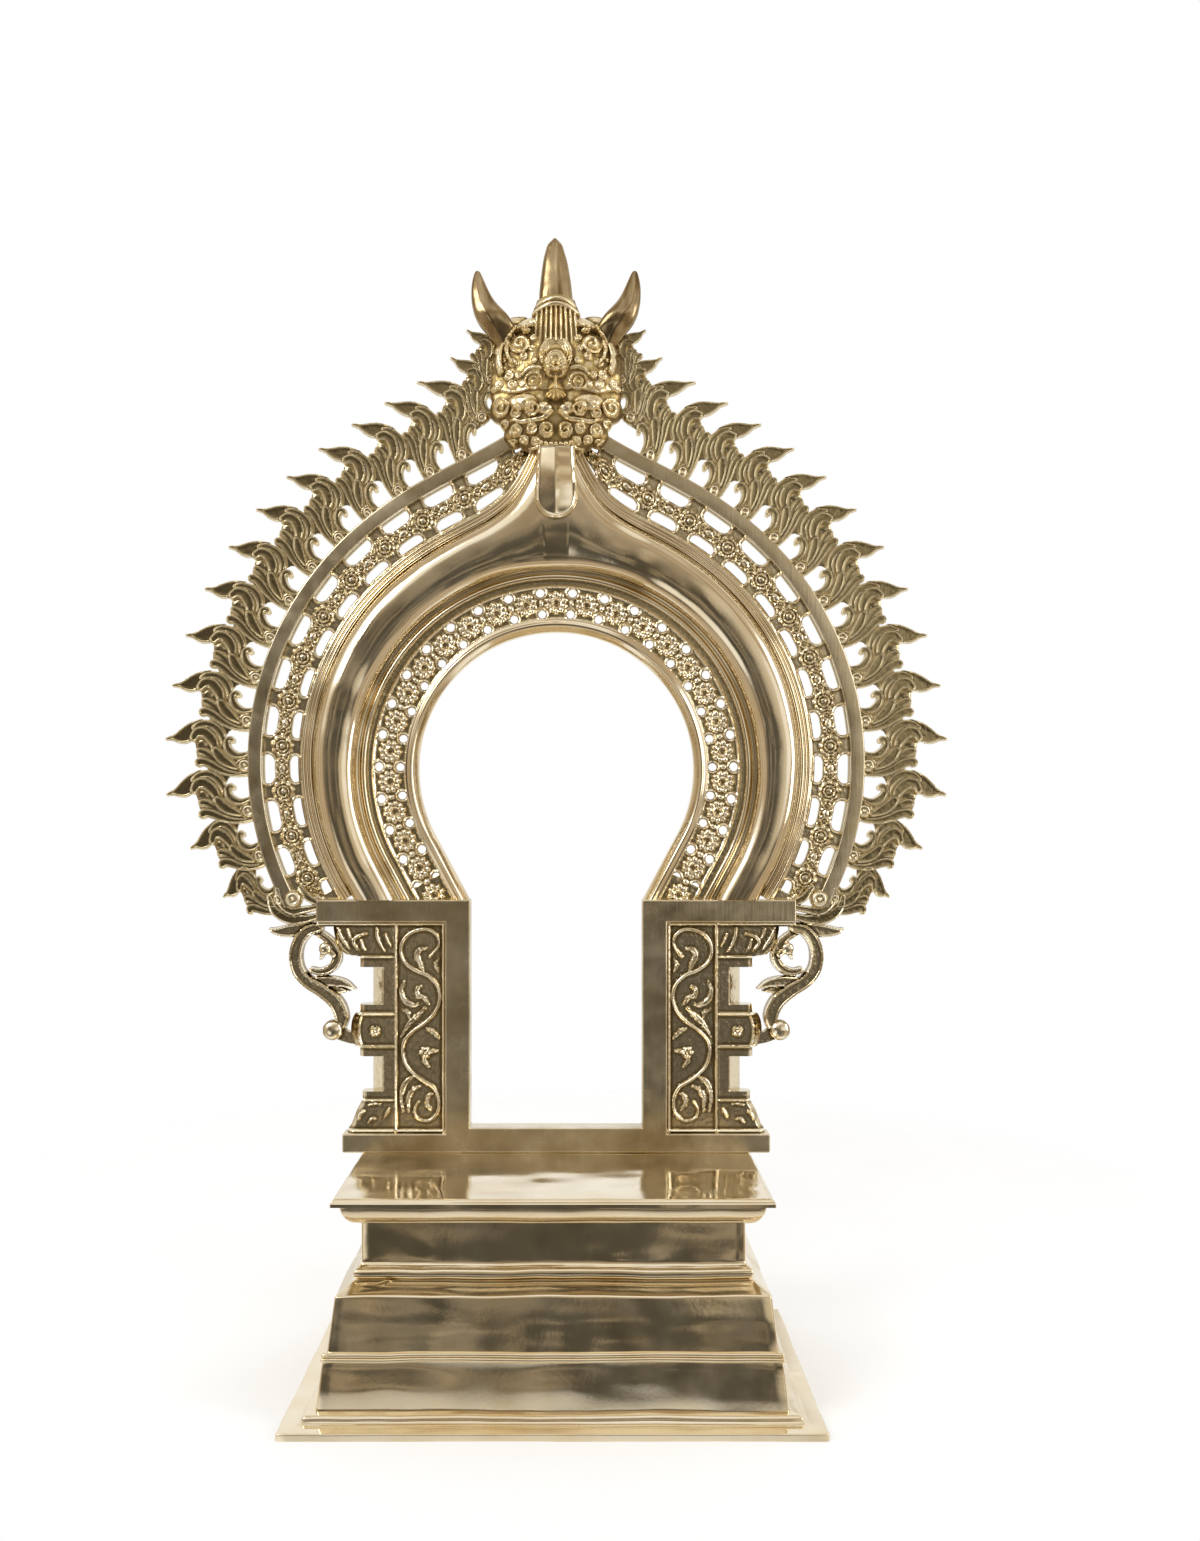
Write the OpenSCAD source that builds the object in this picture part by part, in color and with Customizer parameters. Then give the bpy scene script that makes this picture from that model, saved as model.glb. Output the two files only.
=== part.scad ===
// Brass prabhavali: a horseshoe arch with flames, standing on a stepped pedestal.
// Millimetres. +Z is up and the front faces -Y. The origin is under the middle of the pedestal.

/* [Pedestal] */
// Width of the top slab
slab_w = 249; // [220:1:280]
// Depth of the top slab
slab_d = 156; // [140:1:180]
// Thickness of the slab's square edge
slab_edge_h = 4.5; // [3:0.5:8]
// Height of the ovolo under the slab
ovolo_h = 12.3; // [8:0.1:18]
// How far the slab overhangs the neck
neck_in = 15.1; // [8:0.1:20]
// Height of the plain neck
neck_h = 24.9; // [12:0.1:40]
// Height of the half-round below the neck
torus_h = 6.9; // [4:0.1:10]
// Height of the sloping ledge
ledge_h = 6.1; // [3:0.1:12]
// Height of the upper tier's wall
upper_h = 29.8; // [18:0.1:45]
// How far the upper tier's top edge lies inside the slab's edge
upper_top_in = 1.7; // [0:0.1:4]
// How far the upper tier's foot stands outside the slab's edge
upper_foot_out = 2; // [0:0.1:4]
// Height of the two small beads together
bead_pair_h = 5; // [3:0.1:8]
// Height of the lower tier's wall
lower_h = 26; // [15:0.1:40]
// How far the lower tier's top stands outside the slab's edge
lower_top_out = 4.2; // [3:0.1:8]
// How far the lower tier's foot stands outside the slab's edge
lower_foot_out = 7; // [5:0.1:12]
// Height of the half-round on the foot
foot_bead_h = 5; // [3:0.1:8]
// How far the half-round stands outside the slab's edge
foot_bead_out = 13.8; // [11:0.1:20]
// Thickness of the flange
flange_h = 4; // [2.5:0.5:8]
// How far the flange stands outside the slab's edge
flange_out = 25.8; // [20:0.1:40]
// Thickness of the cast walls
wall = 5; // [4:0.5:7]

/* [Tenons] */
// Width of a tenon
tenon_w = 20; // [14:1:28]
// Thickness of a tenon
tenon_t = 9; // [6:0.5:11]
// Length of a tenon
tenon_l = 34; // [24:1:40]
// Clearance around a tenon
tenon_gap = 0.4; // [0.3:0.05:0.8]
// Distance from the slab's end to the middle of a tenon
tenon_in = 40; // [37:1:60]
// Wall of a socket sleeve
sleeve_wall = 3; // [2:0.5:4]
// Length of a socket sleeve
sleeve_l = 30; // [20:1:34]

/* [Frame] */
// Depth of the seat in front of the arch
seat_d = 115.6; // [100:0.1:125]
// Thickness of the frame
frame_t = 16; // [13:0.5:20]
// Width of the sill
sill_w = 272.6; // [255:0.1:300]
// Height of the sill under the panels
sill_h = 12.1; // [8:0.1:16]
// Height of the sill inside the opening
threshold_h = 16; // [12:0.1:24]
// Clear width between the jambs
opening_w = 109.6; // [90:0.1:112]
// Width of a jamb's face
jamb_w = 16; // [10:0.5:20]
// Height of the shoulder caps' top above the slab
shoulder_h = 161.2; // [140:0.1:185]
// Thickness of a shoulder cap
cap_h = 14.2; // [9:0.1:20]
// Distance from the middle to a shoulder cap's outer end
cap_reach = 153; // [145:0.5:156]

/* [Panels and pilasters] */
// Width of a scroll panel
panel_w = 33; // [26:0.5:40]
// Thickness of panels and pilasters
panel_t = 11; // [8:0.5:13]
// Width of a panel's raised border
border_w = 2.6; // [1.5:0.1:4]
// Height of raised carving
relief = 1.6; // [0.8:0.1:2.5]
// Width of the pilaster's thin shaft
shaft_w = 7; // [5:0.5:12]
// Reach of the pilaster's rounded middle block
block_w = 26; // [16:0.5:32]
// Reach of the pilaster's base
base_w = 30; // [20:0.5:32]

/* [Horseshoe] */
// Height of the rings' centre above the slab
centre_h = 244.3; // [225:0.1:265]
// Radius of the opening
opening_r = 88; // [80:0.5:90]
// Width of the lip
lip_w = 9; // [6:0.5:11]
// Thickness of the lip
lip_t = 8.6; // [5:0.1:10]
// Width of the flower band that shows
band_w = 24.7; // [20:0.1:27]
// Thickness of the pierced plates
plate_t = 5; // [3:0.5:7]
// Width of the ridge and groove beside the roll
ridge_w = 6.3; // [4:0.1:9]
// Width of the roll
roll_w = 26.5; // [22:0.5:28]
// How far the roll stands out from the pierced plates
roll_t = 15; // [10:0.5:20]
// Wall of the hollow roll
roll_wall = 4; // [3:0.5:5]
// Angle from the top at which the rings turn into straight legs
leg_angle = 118; // [112:1:122]

/* [Flower band] */
// Number of flowers on the band
flowers = 25; // [17:2:29]
// Radius of a flower
flower_r = 5.6; // [4:0.1:6]
// Diameter of the small holes between flowers
pin_hole_d = 5; // [3:0.1:5.5]

/* [Outer border] */
// Distance from the beads' middle to the rim's middle
lattice_w = 33.7; // [31:0.1:38]
// How far the outer curves' centre lies above the rings' centre
outer_shift = 4.8; // [2:0.1:8]
// Rise of the beads at the ogee point
bead_rise = 80; // [70:1:90]
// Angle over which the beads rise
bead_ogee = 5.4; // [4.6:0.1:6]
// Rise of the rim at the ogee point
rim_rise = 36; // [32:1:44]
// Angle over which the rim rises
rim_ogee = 9; // [8:0.5:10]
// Width of the fine beads
beads_w = 7; // [5:0.5:8]
// Thickness of the fine beads
beads_t = 8; // [5:0.5:10]
// Width of the plain rim
rim_w = 9.1; // [7:0.1:11]
// Thickness of the rim and flames
flame_t = 5; // [3.5:0.5:7]
// Lattice cells on each side
cells = 12; // [9:1:13]
// Radius of a lattice flower
lattice_flower_r = 7.4; // [5:0.1:8]

/* [Flames] */
// Height of a flame
flame_h = 54; // [40:0.5:60]

/* [Head] */
// Radius of the face's foot
face_r = 43; // [40:0.5:45]
// How far the face stands out
face_t = 26; // [23:0.5:30]
// Height of the face's middle above the rings' centre
face_up = 245; // [243:0.5:248]
// Radius of an eye's ring
eye_r = 7.8; // [6:0.1:8.4]
// Radius of the ringed boss on the forehead
boss_r = 10.2; // [8:0.1:11]
// Radius of a cheek scroll
cheek_r = 8.6; // [6:0.1:10]
// Width of the ribbed crown
crown_w = 27.4; // [22:0.2:30]
// Height of the ribbed crown
crown_h = 19; // [16:0.5:22]
// Height of the band over the crown
cap_band_h = 8.3; // [6:0.1:11]
// Length of the middle horn
horn_l = 40; // [30:0.5:55]
// Radius of the middle horn's foot
horn_r = 10; // [8:0.5:11]
// Length of a side horn
side_horn_l = 41; // [34:0.5:46]
// Radius of a side horn's foot
side_horn_r = 10; // [8:0.5:11]
// Width of the tongue
tongue_w = 26.7; // [22:0.1:28]
// Length of the tongue that shows below the face
tongue_l = 45; // [40:0.5:47]
// Thickness of the tongue
tongue_t = 5; // [4:0.5:7]

/* [Hidden] */
$fn = 64;
brass = [0.80, 0.66, 0.36];
pale_brass = [0.86, 0.74, 0.46];
dark_brass = [0.62, 0.50, 0.28];

// Heights of the pedestal's seams
z_foot = flange_h + foot_bead_h;
z_lower = z_foot + lower_h + bead_pair_h;
z_upper = z_lower + upper_h + ledge_h;
z_neck = z_upper + torus_h + neck_h;
z_slab = z_neck + ovolo_h + slab_edge_h;
slab_t = slab_edge_h + 2;
ledge_in = neck_in - 4.4;

// Insets of the hollow inside each course
hollow_neck = neck_in + wall;
hollow_upper = upper_top_in + wall;
hollow_lower = wall - lower_top_out;

// Depths of the arch's layers
y_front = seat_d - slab_d / 2;
y_back = y_front + frame_t;
y_plate = y_back - plate_t;
y_mid = (y_front + y_back) / 2;
tenon_x = slab_w / 2 - tenon_in;

// Heights in the arch
z_centre = z_slab + centre_h;
z_shoulder = z_slab + shoulder_h;
drop = shoulder_h - centre_h;
// A hidden reach past the shoulders, where the outer curves are cut off
past_shoulders = 150;
panel_in = opening_w / 2 + jamb_w;
panel_out = panel_in + panel_w;
panel_top = shoulder_h - cap_h;
panel_tall = panel_top - sill_h;

// Radii of the rings
band_r = opening_r + lip_w;
ridge_r = band_r + band_w;
roll_r = ridge_r + ridge_w;
roll_out = roll_r + roll_w;
bead_r0 = roll_out + beads_w / 2 + 1.6;
rim_r0 = bead_r0 + lattice_w;
// Where the rings turn into legs, at the latest just above the shoulders
leg_t = min(leg_angle, acos(drop / roll_out) - 1);
// Where the rim ends on the shoulder
rim_end = acos(drop / rim_r0) + 1.5;
// How far the pierced plates reach under the mouldings, and the gap left at brazed seams
lap = 4;
seam = 0.3;
// A length past everything
far = 600;

// Points on an arc
function arc(c, r, a0, a1, n) =
    [for (i = [0:n]) let (a = a0 + (a1 - a0) * i / n) c + r * [cos(a), sin(a)]];

// A smooth closed curve through a few points
function spline_point(a, b, c, d, t) =
    0.5 * (2 * b + (c - a) * t + (2 * a - 5 * b + 4 * c - d) * t * t
    + (3 * b - a - 3 * c + d) * t * t * t);
function closed_curve(p, steps) =
    let (n = len(p))
    [for (i = [0:n - 1], k = [0:steps - 1])
        spline_point(p[(i + n - 1) % n], p[i], p[(i + 1) % n], p[(i + 2) % n], k / steps)];

// A point at an angle from the top, seen from the front
function polar(r, t) = [r * sin(t), r * cos(t)];

// The outer curves: circles with a raised centre that rise to the ogee point
function bead_r(t) = bead_r0 + outer_shift * cos(t) + bead_rise * exp(-abs(t) / bead_ogee);
function rim_r(t) = rim_r0 + outer_shift * cos(t) + rim_rise * exp(-abs(t) / rim_ogee);

// The outline of a course at a half size, mirrored about its middle
function section(p, half) = concat(
    [for (q = p) [half + q[0], q[1]]],
    [for (i = [len(p) - 1:-1:0]) [-half - p[i][0], p[i][1]]]);

// A block with the same moulding on all four sides and mitred corners
module moulded(p) {
    intersection() {
        rotate([90, 0, 0])
            linear_extrude(far, center = true)
                polygon(section(p, slab_w / 2));
        rotate([90, 0, 90])
            linear_extrude(far, center = true)
                polygon(section(p, slab_d / 2));
    }
}

// A box inset from the slab's edges, between two heights
module hollow(inset, z0, z1) {
    translate([inset - slab_w / 2, inset - slab_d / 2, z0])
        cube([slab_w - 2 * inset, slab_d - 2 * inset, z1 - z0]);
}

// A flat piece of the arch between two depths, drawn from the rings' centre
module plate(y0, y1) {
    translate([0, y1, z_centre])
        rotate([90, 0, 0])
            linear_extrude(y1 - y0)
                children();
}

// A flat piece of the arch between two depths, drawn from the slab's top
module base_plate(y0, y1) {
    translate([0, y1, z_slab])
        rotate([90, 0, 0])
            linear_extrude(y1 - y0)
                children();
}

// Everything inside a ring with straight legs
module horseshoe(r) {
    n = 80;
    foot = polar(r, leg_t);
    run = (foot[1] - drop) / sin(leg_t);
    toe = [foot[0] + run * cos(leg_t), drop];
    polygon(concat(
        [for (i = [0:n]) polar(r, leg_t * (2 * i / n - 1))],
        [toe, [-toe[0], toe[1]]]));
}

// A ring with straight legs
module horseshoe_ring(r0, r1) {
    difference() {
        horseshoe(r1);
        horseshoe(r0);
        below_shoulders();
    }
}

// What lies under the shoulder caps' top
module below_shoulders() {
    translate([-far / 2, drop - far])
        square([far, far]);
}

// A slot with round ends, along X
module slot(length, width) {
    middle = [(length - width) / 2, 0];
    polygon(concat(
        arc(middle, width / 2, -90, 90, 10),
        arc(-middle, width / 2, 90, 270, 10)));
}

// PEDESTAL

module foot_plate() {
    r = foot_bead_h / 2;
    bead = arc([foot_bead_out - r, flange_h + r], r, -80, 90, 8);
    color(brass)
        difference() {
            moulded(concat([[flange_out, 0], [flange_out, flange_h]], bead));
            hollow(hollow_lower, -1, z_foot + 1);
        }
}

module lower_course() {
    r = bead_pair_h / 4;
    top = z_foot + lower_h;
    beads = [for (k = [0, 1]) each arc([lower_top_out, top + r + 2 * r * k], r, -80, 80, 6)];
    color(brass)
        difference() {
            moulded(concat(
                [[lower_foot_out, z_foot], [lower_top_out, top]],
                beads,
                [[upper_foot_out, z_lower]]));
            hollow(hollow_lower, z_foot - 1, top);
            hollow(hollow_upper, top - 1, z_lower + 1);
        }
}

module upper_course() {
    top = z_lower + upper_h;
    color(brass)
        difference() {
            moulded([[upper_foot_out, z_lower], [-upper_top_in, top], [-ledge_in, z_upper]]);
            hollow(hollow_upper, z_lower - 1, top - wall);
            hollow(hollow_neck, top - wall - 1, z_upper + 1);
        }
}

module neck_course() {
    r = torus_h / 2;
    bead = arc([-ledge_in - r, z_upper + r], r, -80, 75, 8);
    fillet = 4;
    color(brass)
        difference() {
            moulded(concat(bead, [[-neck_in, z_upper + torus_h + fillet], [-neck_in, z_neck]]));
            hollow(hollow_neck, z_upper - 1, z_neck + 1);
        }
}

module top_slab() {
    reach = neck_in - 4;
    ovolo = [for (a = [0:15:90]) [-neck_in + reach * sin(a), z_neck + ovolo_h * (1 - cos(a))]];
    color(pale_brass)
        difference() {
            moulded(concat(ovolo, [[0, z_slab - slab_edge_h], [0, z_slab]]));
            hollow(hollow_neck, z_neck - 1, z_slab - slab_t);
            for (s = [-1, 1])
                tenon_block(s, tenon_gap, z_neck, z_slab + 1);
        }
}

// The space of a tenon, grown on its four sides
module tenon_block(side, grow, z0, z1) {
    translate([side * tenon_x - tenon_w / 2 - grow, y_mid - tenon_t / 2 - grow, z0])
        cube([tenon_w + 2 * grow, tenon_t + 2 * grow, z1 - z0]);
}

module socket(side) {
    top = z_slab - slab_t;
    color(dark_brass)
        difference() {
            tenon_block(side, tenon_gap + sleeve_wall, top - sleeve_l, top);
            tenon_block(side, tenon_gap, top - sleeve_l - 1, top + 1);
        }
}

module left_socket() socket(-1);
module right_socket() socket(1);

// FRAME

module tenon(side) {
    color(dark_brass)
        tenon_block(side, 0, z_slab - tenon_l, z_slab);
}

module left_tenon() tenon(-1);
module right_tenon() tenon(1);

module keyhole_frame() {
    color(brass)
        base_plate(y_front, y_back) {
            translate([-sill_w / 2, 0])
                square([sill_w, sill_h]);
            translate([-panel_in, 0])
                square([2 * panel_in, threshold_h]);
            for (s = [0, 1])
                mirror([s, 0])
                    shoulder_and_jamb();
        }
}

// One jamb with its shoulder cap
module shoulder_and_jamb() {
    translate([opening_w / 2, 0])
        square([jamb_w, shoulder_h]);
    translate([opening_w / 2, panel_top])
        square([cap_reach - opening_w / 2, cap_h]);
}

// A vine that swings from side to side, with a curl in each bend
module vine() {
    curls = 4;
    step = panel_tall / curls;
    r = min(step, panel_w) / 2 - border_w - 2;
    stem = 1.8;
    for (k = [0:curls - 1])
        translate([panel_w / 2, (k + 0.5) * step])
            mirror([k % 2, 0]) {
                difference() {
                    circle(r);
                    circle(r - stem);
                    translate([0, -r])
                        square([r, r]);
                }
                translate([r * 0.4, -r * 0.3])
                    difference() {
                        circle(r * 0.45);
                        circle(r * 0.45 - stem);
                    }
            }
}

module scroll_panel(side) {
    y0 = y_back - panel_t;
    color(pale_brass)
        mirror([side < 0 ? 1 : 0, 0, 0]) {
            base_plate(y0, y_back)
                translate([panel_in, sill_h])
                    square([panel_w, panel_tall]);
            base_plate(y0 - relief, y0)
                translate([panel_in, sill_h]) {
                    difference() {
                        square([panel_w, panel_tall]);
                        translate([border_w, border_w])
                            square([panel_w - 2 * border_w, panel_tall - 2 * border_w]);
                    }
                    vine();
                }
        }
}

module left_scroll_panel() scroll_panel(-1);
module right_scroll_panel() scroll_panel(1);

// The pilaster's outline from the panel's edge: base, shaft, block, shaft and capital
module pilaster_outline() {
    base_top = panel_tall * 0.18;
    block_low = panel_tall * 0.39;
    block_high = panel_tall * 0.57;
    ring = 3.8;
    cap_low = panel_tall * 0.82;
    cap_w = cap_reach - panel_out;
    cap_step = 10.5;
    flange_w = block_w - 3;
    flare = base_w - shaft_w;
    ogee = [for (a = [0:15:90])
        [shaft_w + flare * (1 - sin(a)), base_top * (1 - 0.75 * cos(a))]];
    half = (block_high - block_low) / 2;
    polygon(concat(
        [[0, 0], [base_w, 0]],
        ogee,
        [[shaft_w, block_low - ring], [flange_w, block_low - ring], [flange_w, block_low]],
        arc([block_w - half, block_low + half], half, -60, 60, 8),
        [[flange_w, block_high], [flange_w, block_high + ring], [shaft_w, block_high + ring]],
        [[shaft_w, cap_low - 4], [cap_w * 0.45, cap_low], [cap_w - cap_step, cap_low + 3]],
        [[cap_w - cap_step, panel_tall - arm_h], [cap_w, panel_tall - arm_h]],
        [[cap_w, panel_tall], [0, panel_tall]]));
}

module pilaster(side) {
    y0 = y_back - panel_t;
    rosette = 5;
    color(pale_brass)
        mirror([side < 0 ? 1 : 0, 0, 0]) {
            base_plate(y0, y_back)
                translate([panel_out, sill_h])
                    pilaster_outline();
            base_plate(y0 - relief, y0)
                translate([panel_out + block_w / 2, sill_h + panel_tall * 0.48])
                    difference() {
                        circle(rosette);
                        circle(rosette / 2);
                    }
        }
}

module left_pilaster() pilaster(-1);
module right_pilaster() pilaster(1);

// The S-scroll's outlines, from the capital's outer corner: the long scroll, its curl and two leaves
arm_h = 9;
long_scroll = [
    [0, -1], [8, -1.5], [17.5, -9], [21, -21], [19, -33], [12, -45], [2, -52.5], [-9, -57.5],
    [-12, -63], [-9, -70], [-15, -73], [-19.5, -66], [-17, -58], [-8, -51.5], [2, -44.5],
    [9, -34], [11.5, -23], [9, -13.5], [0, -8]
];
inner_curl = [
    [9, -36], [2, -37.5], [-6, -33], [-9.5, -26], [-7.5, -19.5], [-2.5, -21], [-3.5, -26],
    [0, -30.5], [6, -31]
];
leaf = [[-4, -50], [-11, -46], [-18, -40], [-5, -38.5], [3, -45]];
top_leaf = [[4, -3], [13, -0.5], [21, 0], [31, -5], [24, -7], [15, -11]];

module bracket_outline() {
    for (part = [long_scroll, inner_curl, leaf, top_leaf])
        polygon(closed_curve(part, 3));
}

module scroll_bracket(side) {
    y0 = y_back - panel_t + 1;
    color(pale_brass)
        mirror([side < 0 ? 1 : 0, 0, 0])
            base_plate(y0, y_back - 1)
                translate([cap_reach, panel_top])
                    difference() {
                        bracket_outline();
                        translate([-far, -arm_h - seam])
                            square([far, far]);
                    }
}

module left_scroll_bracket() scroll_bracket(-1);
module right_scroll_bracket() scroll_bracket(1);

// HORSESHOE

module inner_lip() {
    bevel = 4;
    color(pale_brass) {
        plate(y_plate - lip_t + bevel, y_plate)
            horseshoe_ring(opening_r, band_r);
        plate(y_plate - lip_t, y_plate - lip_t + bevel)
            horseshoe_ring(opening_r + bevel, band_r);
    }
}

// The flowers' and holes' places along the band, round the arc and down the legs
band_mid = (band_r + ridge_r) / 2;
band_arc = band_mid * leg_t * PI / 180;
band_leg = (band_mid * cos(leg_t) - drop) / sin(leg_t);
last_flower = 21.4;
flower_step = 2 * (band_arc + band_leg - last_flower) / (flowers - 1);
function flower_way(i) = (i - (flowers - 1) / 2) * flower_step;
function band_place(s, out) =
    let (way = min(abs(s), band_arc), run = abs(s) - way, t = way / band_mid * 180 / PI)
    polar(band_mid + out, sign(s) * t) + run * [sign(s) * cos(t), -sin(t)];

module inner_band() {
    r_hole = band_w / 2 - pin_hole_d / 2 - 2.4;
    color(brass) {
        plate(y_plate, y_back)
            difference() {
                horseshoe_ring(band_r - lap, ridge_r + lap);
                for (i = [0:flowers - 2], s = [-1, 1])
                    translate(band_place(flower_way(i + 0.5), s * r_hole))
                        circle(d = pin_hole_d);
            }
        plate(y_plate - relief, y_plate)
            for (i = [0:flowers - 1])
                translate(band_place(flower_way(i), 0))
                    difference() {
                        circle(flower_r);
                        circle(flower_r * 0.45);
                    }
    }
}

// Stations along the horseshoe: legs first and last, closer together near the ogee point
roll_steps = 24;
leg_steps = 2;
function station_angle(i) = let (u = i / roll_steps) leg_t * sign(u) * pow(abs(u), 1.3);
function on_arc(r, i) = polar(r, station_angle(i));
function on_leg(r, side, f) =
    let (foot = polar(r, leg_t), run = f * (foot[1] - drop) / sin(leg_t))
    [side * (foot[0] + run * cos(leg_t)), foot[1] - run * sin(leg_t)];
function on_path(r, i) =
    abs(i) <= roll_steps ? on_arc(r, i) : on_leg(r, sign(i), (abs(i) - roll_steps) / leg_steps);
function path_angle(i) = abs(i) <= roll_steps ? station_angle(i) : sign(i) * leg_t;

// Where the face's foot begins, outwards along an angle from the top
function face_start(t) =
    let (side = face_up * sin(t), reach = face_r + seam)
    abs(side) < reach ? face_up * cos(t) - sqrt(reach * reach - side * side) : far;

// The roll's outer edge, just inside the fine beads and below the face
roll_gap = 0.7;
function roll_edge(t) = min(bead_r(t) - beads_w / 2 - roll_gap, face_start(t));

// A point on the roll's rounded back: a squared ellipse between two radii
function roll_point(a, r0, r1, tall) = [
    (r0 + r1) / 2 + (r1 - r0) / 2 * sign(cos(a)) * pow(abs(cos(a)), 0.7),
    tall * (0.25 + 0.75 * pow(sin(a), 0.7))
];

// The section at an angle: ridge, groove and rounded back, and the hollow behind them
function roll_back(t) =
    let (foot = roll_t * 0.35, edge = roll_edge(t))
    concat(
        [[ridge_r, 0], [ridge_r, foot], [ridge_r + ridge_w * 0.5, foot * 1.1], [roll_r, foot * 0.5]],
        [for (a = [180:-20:0]) roll_point(a, roll_r, edge, roll_t)],
        [[edge, 0]]);
function roll_hollow(t) =
    let (r0 = roll_r + roll_wall, r1 = roll_edge(t) - roll_wall, tall = roll_t - roll_wall)
    concat(
        [for (k = [0:3]) [r0, roll_point(180, r0, r1, tall)[1] * k / 4]],
        [for (a = [180:-20:0]) roll_point(a, r0, r1, tall)],
        [[r1, 0]]);

module roll_moulding() {
    last = roll_steps + leg_steps;
    n = len(roll_back(0));
    ring = 2 * n;
    rings = 2 * last;
    points = [for (i = [-last:last])
        let (t = path_angle(i), back = roll_back(t), inside = roll_hollow(t))
        for (p = concat(back, [for (j = [n - 1:-1:0]) inside[j]]))
            let (q = on_path(p[0], i)) [q[0], y_plate - p[1], z_centre + q[1]]];
    sides = [for (i = [0:rings - 1], j = [0:ring - 1])
        let (here = i * ring, there = here + ring, next = (j + 1) % ring)
        [here + j, here + next, there + next, there + j]];
    start = [for (j = [0:n - 2]) [ring - 1 - j, ring - 2 - j, j + 1, j]];
    end = [for (j = [0:n - 2]) [for (k = [j, j + 1, ring - 2 - j, ring - 1 - j]) rings * ring + k]];
    color(pale_brass)
        polyhedron(points, concat(sides, start, end));
}

// A strip along one of the outer curves on the right side, between two angles from the top
module outer_strip(kind, low, high, t0, t1) {
    n = ceil((t1 - t0) / 3);
    at = [for (i = [0:n]) t0 + (t1 - t0) * pow(i / n, t0 > 0 ? 1 : 1.3)];
    polygon(concat(
        [for (t = at) polar(curve_r(kind, t) + high, t)],
        [for (i = [n:-1:0]) polar(curve_r(kind, at[i]) + low, at[i])]));
}

function curve_r(kind, t) = kind == "bead" ? bead_r(t) : rim_r(t);

// The face's foot, seen from the front
module face_foot(grow) {
    translate([0, face_up])
        circle(face_r + grow);
}

module beads(side) {
    color(brass)
        mirror([side < 0 ? 1 : 0, 0, 0])
            plate(y_plate - beads_t, y_plate)
                difference() {
                    outer_strip("bead", -beads_w / 2, beads_w / 2, 0, past_shoulders);
                    below_shoulders();
                    face_foot(seam);
                }
}

module left_beads() beads(-1);
module right_beads() beads(1);

// LATTICE

first_cell = 9.2;
function cell_angle(i) = first_cell + (rim_end - 3.5 - first_cell) * i / (cells - 1);

module lattice(side) {
    inner_r = roll_out - roll_wall;
    low = inner_r - rim_r0 - rim_rise - lattice_w;
    color(brass)
        mirror([side < 0 ? 1 : 0, 0, 0]) {
            plate(y_plate, y_back)
                difference() {
                    outer_strip("rim", low, rim_w / 2, 0, past_shoulders);
                    horseshoe(inner_r);
                    below_shoulders();
                    for (i = [0:cells - 2])
                        lattice_holes((cell_angle(i) + cell_angle(i + 1)) / 2);
                }
            plate(y_plate - relief, y_plate)
                for (i = [0:cells - 1])
                    lattice_flower(cell_angle(i));
        }
}

// The clear span of the lattice at an angle
function span_low(t) = bead_r(t) + beads_w / 2 + 1;
function span_high(t) = rim_r(t) - rim_w / 2;

module lattice_flower(t) {
    mid = (span_low(t) + span_high(t)) / 2;
    r = min(lattice_flower_r, (span_high(t) - span_low(t)) / 2);
    translate(polar(mid, t))
        difference() {
            circle(r);
            circle(r * 0.4);
        }
}

// Two rows of slots in one cell, with the chain left between them
module lattice_holes(t) {
    low = span_low(t);
    high = span_high(t);
    bar = 12.3;
    chain = 9.5;
    tall = (high - low - chain) / 2;
    pitch = cell_angle(1) - cell_angle(0);
    for (r = [low + tall / 2, high - tall / 2])
        translate(polar(r, t))
            rotate(-t)
                slot(r * pitch * PI / 180 - bar, tall);
}

module left_lattice() lattice(-1);
module right_lattice() lattice(1);

// FLAMES

// One flame's outline: along the rim towards the top, and outwards from the rim
flame_width = 29.9;
flame_tip = [16.9, 54];
flame_points = [
    [0.2, -2], [-0.7, 6.7], [-0.5, 12.9], [1.7, 19.5], [4.5, 24.7], [4.2, 28.5], [4.7, 33.1],
    [7.9, 34.6], [11.4, 33.8], [14, 34.9], [15.4, 37], [15.2, 44.1], [16, 50.6], flame_tip,
    [18.2, 52], [21.2, 48.1], [25.5, 43.7], [29, 39.1], [31.4, 35.1], [31.8, 29.6], [30.4, 23.9],
    [27.6, 19.6], [24.8, 17.3], [25.3, 14.4], [24.3, 11.4], [21.6, 10.3], [18.7, 12.3],
    [16.2, 12.2], [14.2, 8.7], [14.2, 4.4], [17, 1.3], [21, -2]
];

// The flames crowd together and lean back towards the head
flames_each = 4;
flame_gap = 0.3;
function flame_start(i) = rim_end * (1 - 0.0768 * i + 0.0009 * i * i);
function flame_lean(i) = 6.2 - 0.042 * (i + 1) * (i + 1);

// The lowest flames are smaller, and the last ones grow taller beside the head
function flame_size(i) =
    (min(1, 0.62 + 0.2 * i) + 0.5 * exp((i + 1 - 4 * flames_each) / 1.9)) * flame_h / flame_tip[1];

module flame(i) {
    unit = (flame_start(i) - flame_start(i + 1)) / (flame_width + flame_gap);
    size = flame_size(i);
    shift = flame_lean(i) / unit - flame_tip[0];
    curve = closed_curve(flame_points, 2);
    polygon([for (k = [len(curve) - 1:-1:0])
        let (
            p = curve[k],
            rise = p[1] / flame_tip[1],
            t = flame_start(i) - (p[0] + shift * rise * abs(rise)) * unit)
            polar(rim_r(t) + rim_w / 2 + (p[1] > 0 ? p[1] * size : p[1]), t)]);
}

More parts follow.
